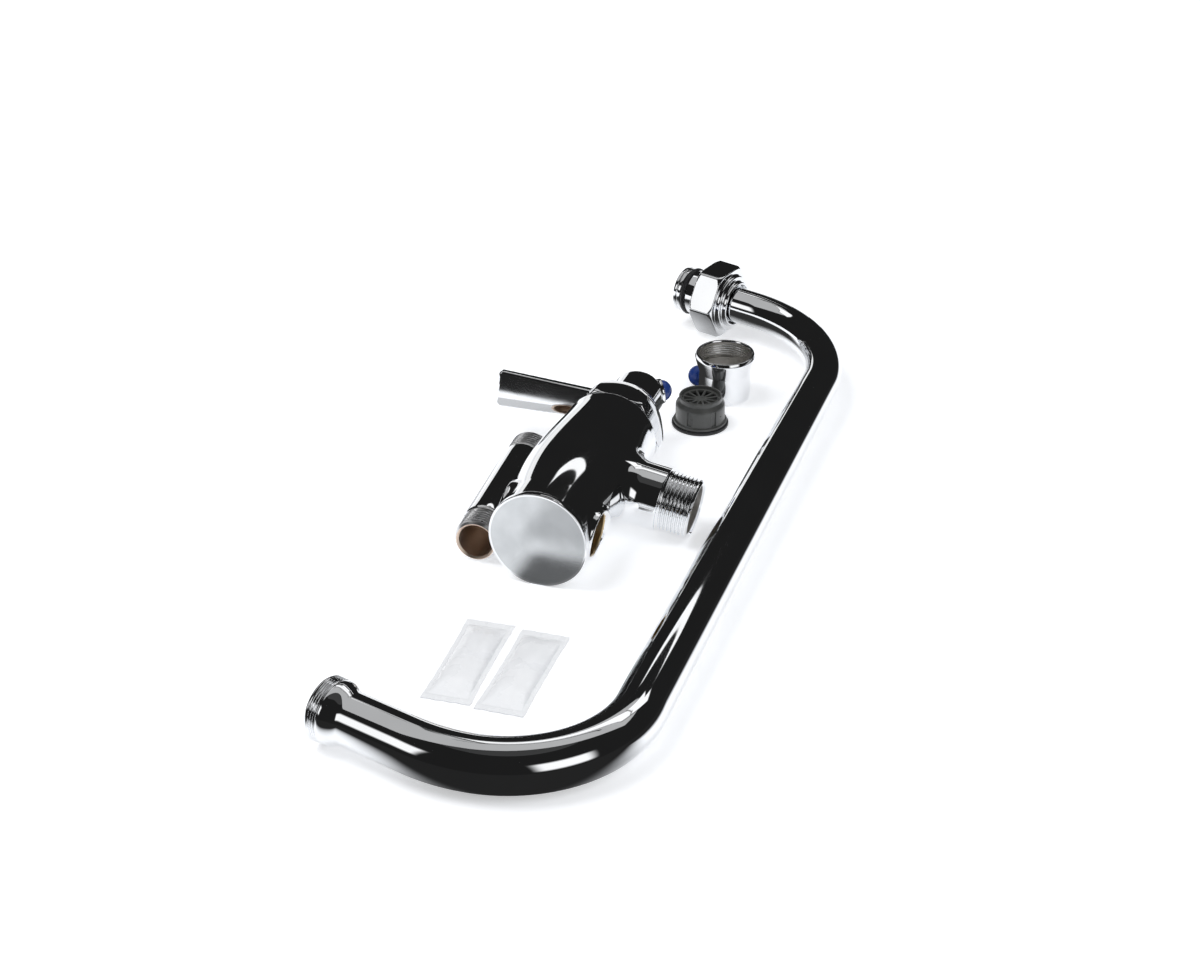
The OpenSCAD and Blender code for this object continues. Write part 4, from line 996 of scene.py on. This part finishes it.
# Walls, ceiling and lamps that only metal mirrors
DARK = emit("dark_tent", 0.014)
DIM = emit("dim_room", 0.05)
PALE = emit("ceiling_white", 0.5)


def soft_edge(t, edge, most=1.0):
    """The most in the middle of a card that runs from -1 to 1, fading to 0 over the outer part."""
    xyz = node(t, "ShaderNodeSeparateXYZ")
    t.links.new(coords(t), xyz.inputs[0])
    both = node(t, "ShaderNodeMath", operation="MULTIPLY")
    for k, axis in enumerate("XY"):
        size = node(t, "ShaderNodeMath", operation="ABSOLUTE")
        t.links.new(xyz.outputs[axis], size.inputs[0])
        fall = node(t, "ShaderNodeMapRange", interpolation_type="SMOOTHSTEP")
        fall.inputs["From Min"].default_value = 1.0
        fall.inputs["From Max"].default_value = 1.0 - edge
        fall.inputs["To Max"].default_value = math.sqrt(most)
        t.links.new(size.outputs[0], fall.inputs["Value"])
        t.links.new(fall.outputs["Result"], both.inputs[k])
    return both.outputs[0]


def soft_box(name, value, edge):
    """A softbox that is brightest in its middle and fades over the outer part of its cloth."""
    m = emit(name, value)
    t = m.node_tree
    lit = node(t, "ShaderNodeMath", operation="MULTIPLY_ADD")
    lit.inputs[1].default_value = value
    lit.inputs[2].default_value = 0.02
    t.links.new(soft_edge(t, edge), lit.inputs[0])
    glow = next(n for n in t.nodes if n.type == "EMISSION")
    t.links.new(lit.outputs[0], glow.inputs["Strength"])
    return m


def veil(name, fac_of, value=0.02):
    """A dark sheet that hides what lies behind it by the factor that fac_of builds."""
    m = emit(name, value)
    t = m.node_tree
    glow = next(n for n in t.nodes if n.type == "EMISSION")
    clear = t.nodes.new("ShaderNodeBsdfTransparent")
    mix = t.nodes.new("ShaderNodeMixShader")
    t.links.new(fac_of(t), mix.inputs[0])
    t.links.new(clear.outputs[0], mix.inputs[1])
    t.links.new(glow.outputs[0], mix.inputs[2])
    t.links.new(mix.outputs[0], next(n for n in t.nodes if n.type == "OUTPUT_MATERIAL").inputs[0])
    return m


BRIGHT = soft_box("soft_box_white", 1.15, 0.45)
STRIP = soft_box("strip_light", 1.15, 0.2)


def glossy_only(o):
    """Hides a piece of the stage from everything but reflections."""
    o.visible_camera = False
    o.visible_diffuse = False
    o.visible_shadow = False
    o.visible_transmission = False
    o.visible_volume_scatter = False
    return o


def compass(az, el, radius):
    """A point of the room, az degrees to the right of +Y and el degrees up."""
    a, e = math.radians(az), math.radians(el)
    return Vector((math.sin(a) * math.cos(e), math.cos(a) * math.cos(e), math.sin(e))) * radius


WALL_DISTANCE, LAMP_DISTANCE = 2.2, 1.9


def dome(name, low, high, left, right, material, radius=WALL_DISTANCE):
    """A wall of the room between two elevations and two bearings, seen only in reflections."""
    segments, rows = 48, 12
    V = [compass(left + (right - left) * k / segments, low + (high - low) * r / rows, radius)
         for r in range(rows + 1) for k in range(segments + 1)]
    m = segments + 1
    F = [(r * m + k, r * m + k + 1, (r + 1) * m + k + 1, (r + 1) * m + k)
         for r in range(rows) for k in range(segments)]
    return glossy_only(stage_piece(name, V, F, material))


UNIT_SQUARE = [(-1, -1, 0), (1, -1, 0), (1, 1, 0), (-1, 1, 0)]


def patch(name, az, el, w, h, material, radius=LAMP_DISTANCE):
    """A flat softbox facing the table, w by h degrees; its own frame runs from -1 to 1."""
    o = glossy_only(card(name, UNIT_SQUARE, material))
    d = compass(az, el, 1)
    side = compass(az + 90, 0, 1)
    up = side.cross(d)
    x, y = math.tan(math.radians(w / 2)) * radius, math.tan(math.radians(h / 2)) * radius
    o.matrix_world = turned([side * x, up * y, -d], d * radius)


FRONT_EDGE_SLOPE = 0.39
FRONT_EDGE, RIGHT_EDGE = (-0.157, -0.182), (0.078, 0.112)   # where each edge's fade starts and ends


def past_edges(t):
    """0 over the white table, 1 past its front and right edges, where metal mirrors the dark room."""
    xyz = node(t, "ShaderNodeSeparateXYZ")
    t.links.new(coords(t), xyz.inputs[0])
    front = node(t, "ShaderNodeMath", operation="MULTIPLY_ADD")
    t.links.new(xyz.outputs["X"], front.inputs[0])
    front.inputs[1].default_value = -FRONT_EDGE_SLOPE
    t.links.new(xyz.outputs["Y"], front.inputs[2])
    most = node(t, "ShaderNodeMath", operation="MAXIMUM")
    for k, (across, (near, far)) in enumerate(((front.outputs[0], FRONT_EDGE),
                                               (xyz.outputs["X"], RIGHT_EDGE))):
        n = node(t, "ShaderNodeMapRange", interpolation_type="SMOOTHSTEP")
        n.inputs["From Min"].default_value = near
        n.inputs["From Max"].default_value = far
        t.links.new(across, n.inputs["Value"])
        t.links.new(n.outputs["Result"], most.inputs[k])
    return most.outputs[0]


def shade(name, x, y, half_x, half_y, most):
    """A stretch of table that lies in shade, as polished metal mirrors it."""
    o = glossy_only(card(name, UNIT_SQUARE, veil(name, lambda t: soft_edge(t, 0.4, most), 0.035)))
    o.matrix_world = turned([(half_x, 0, 0), (0, half_y, 0), (0, 0, 1)], (x, y, 0.0003))


shade("shade_by_swivel", -0.02, 0.12, 0.04, 0.041, 1.0)
shade("shade_by_lever", -0.068, 0.0, 0.03, 0.045, 0.45)
shade("shade_by_disk", -0.004, -0.06, 0.018, 0.016, 0.85)
glossy_only(card("table_edge", [(-5, -5, 0.0006), (5, -5, 0.0006), (5, 8, 0.0006), (-5, 8, 0.0006)],
                 veil("past_the_table", past_edges)))

# The room: each wall by its elevations and bearings in degrees
dome("tent_back", 9, 45, -45, 5, DARK)
dome("tent_round", -1, 45, 5, 315, DARK)
dome("tent_corner_high", 6, 9.2, -6, 5.2, DARK)
dome("tent_corner_middle", 2.5, 6.2, -3, 5.2, DARK)
dome("tent_corner_low", -1, 2.7, 0, 5.2, DARK)
dome("tent_front", 45, 68, 60, 245, DARK)
dome("tent_top", 68, 90, 60, 245, DIM)
dome("ceiling_light", 45, 90, -115, 60, PALE)
dome("ceiling_seam", 61.6, 62.7, -38, 30, DIM, 1.8)
dome("ceiling_joint", 45, 61, -29, -26.5, DIM, 1.8)
patch("ceiling_left", -50, 47.5, 22, 6.5, STRIP, 2.0)
patch("ceiling_middle", 4, 54.8, 44, 9, STRIP, 2.0)
patch("ceiling_right", 16, 46.4, 12, 8.5, STRIP, 2.0)
patch("ceiling_far_right", 27, 43.5, 12, 13, STRIP, 2.0)
patch("back_tube", 0, 38.0, 30, 1.8, STRIP)
patch("box_front_left", -137, 24, 24, 28, BRIGHT)
patch("box_front_right", 126, 19, 44, 32, BRIGHT)


def area(name, location, size, energy, colour=(1, 1, 1)):
    d = bpy.data.lights.new(name, "AREA")
    d.shape = "RECTANGLE"
    d.size, d.size_y, d.energy, d.color = size, size, energy, colour
    o = bpy.data.objects.new(name, d)
    bpy.context.collection.objects.link(o)
    o.location = location
    o.rotation_euler = (-Vector(location)).to_track_quat("-Z", "Y").to_euler()
    o.visible_glossy = False


area("key", (-0.7, -0.2, 1.3), 0.9, 11)
area("fill", (0.9, -0.5, 1.1), 1.1, 8, (0.96, 0.98, 1))
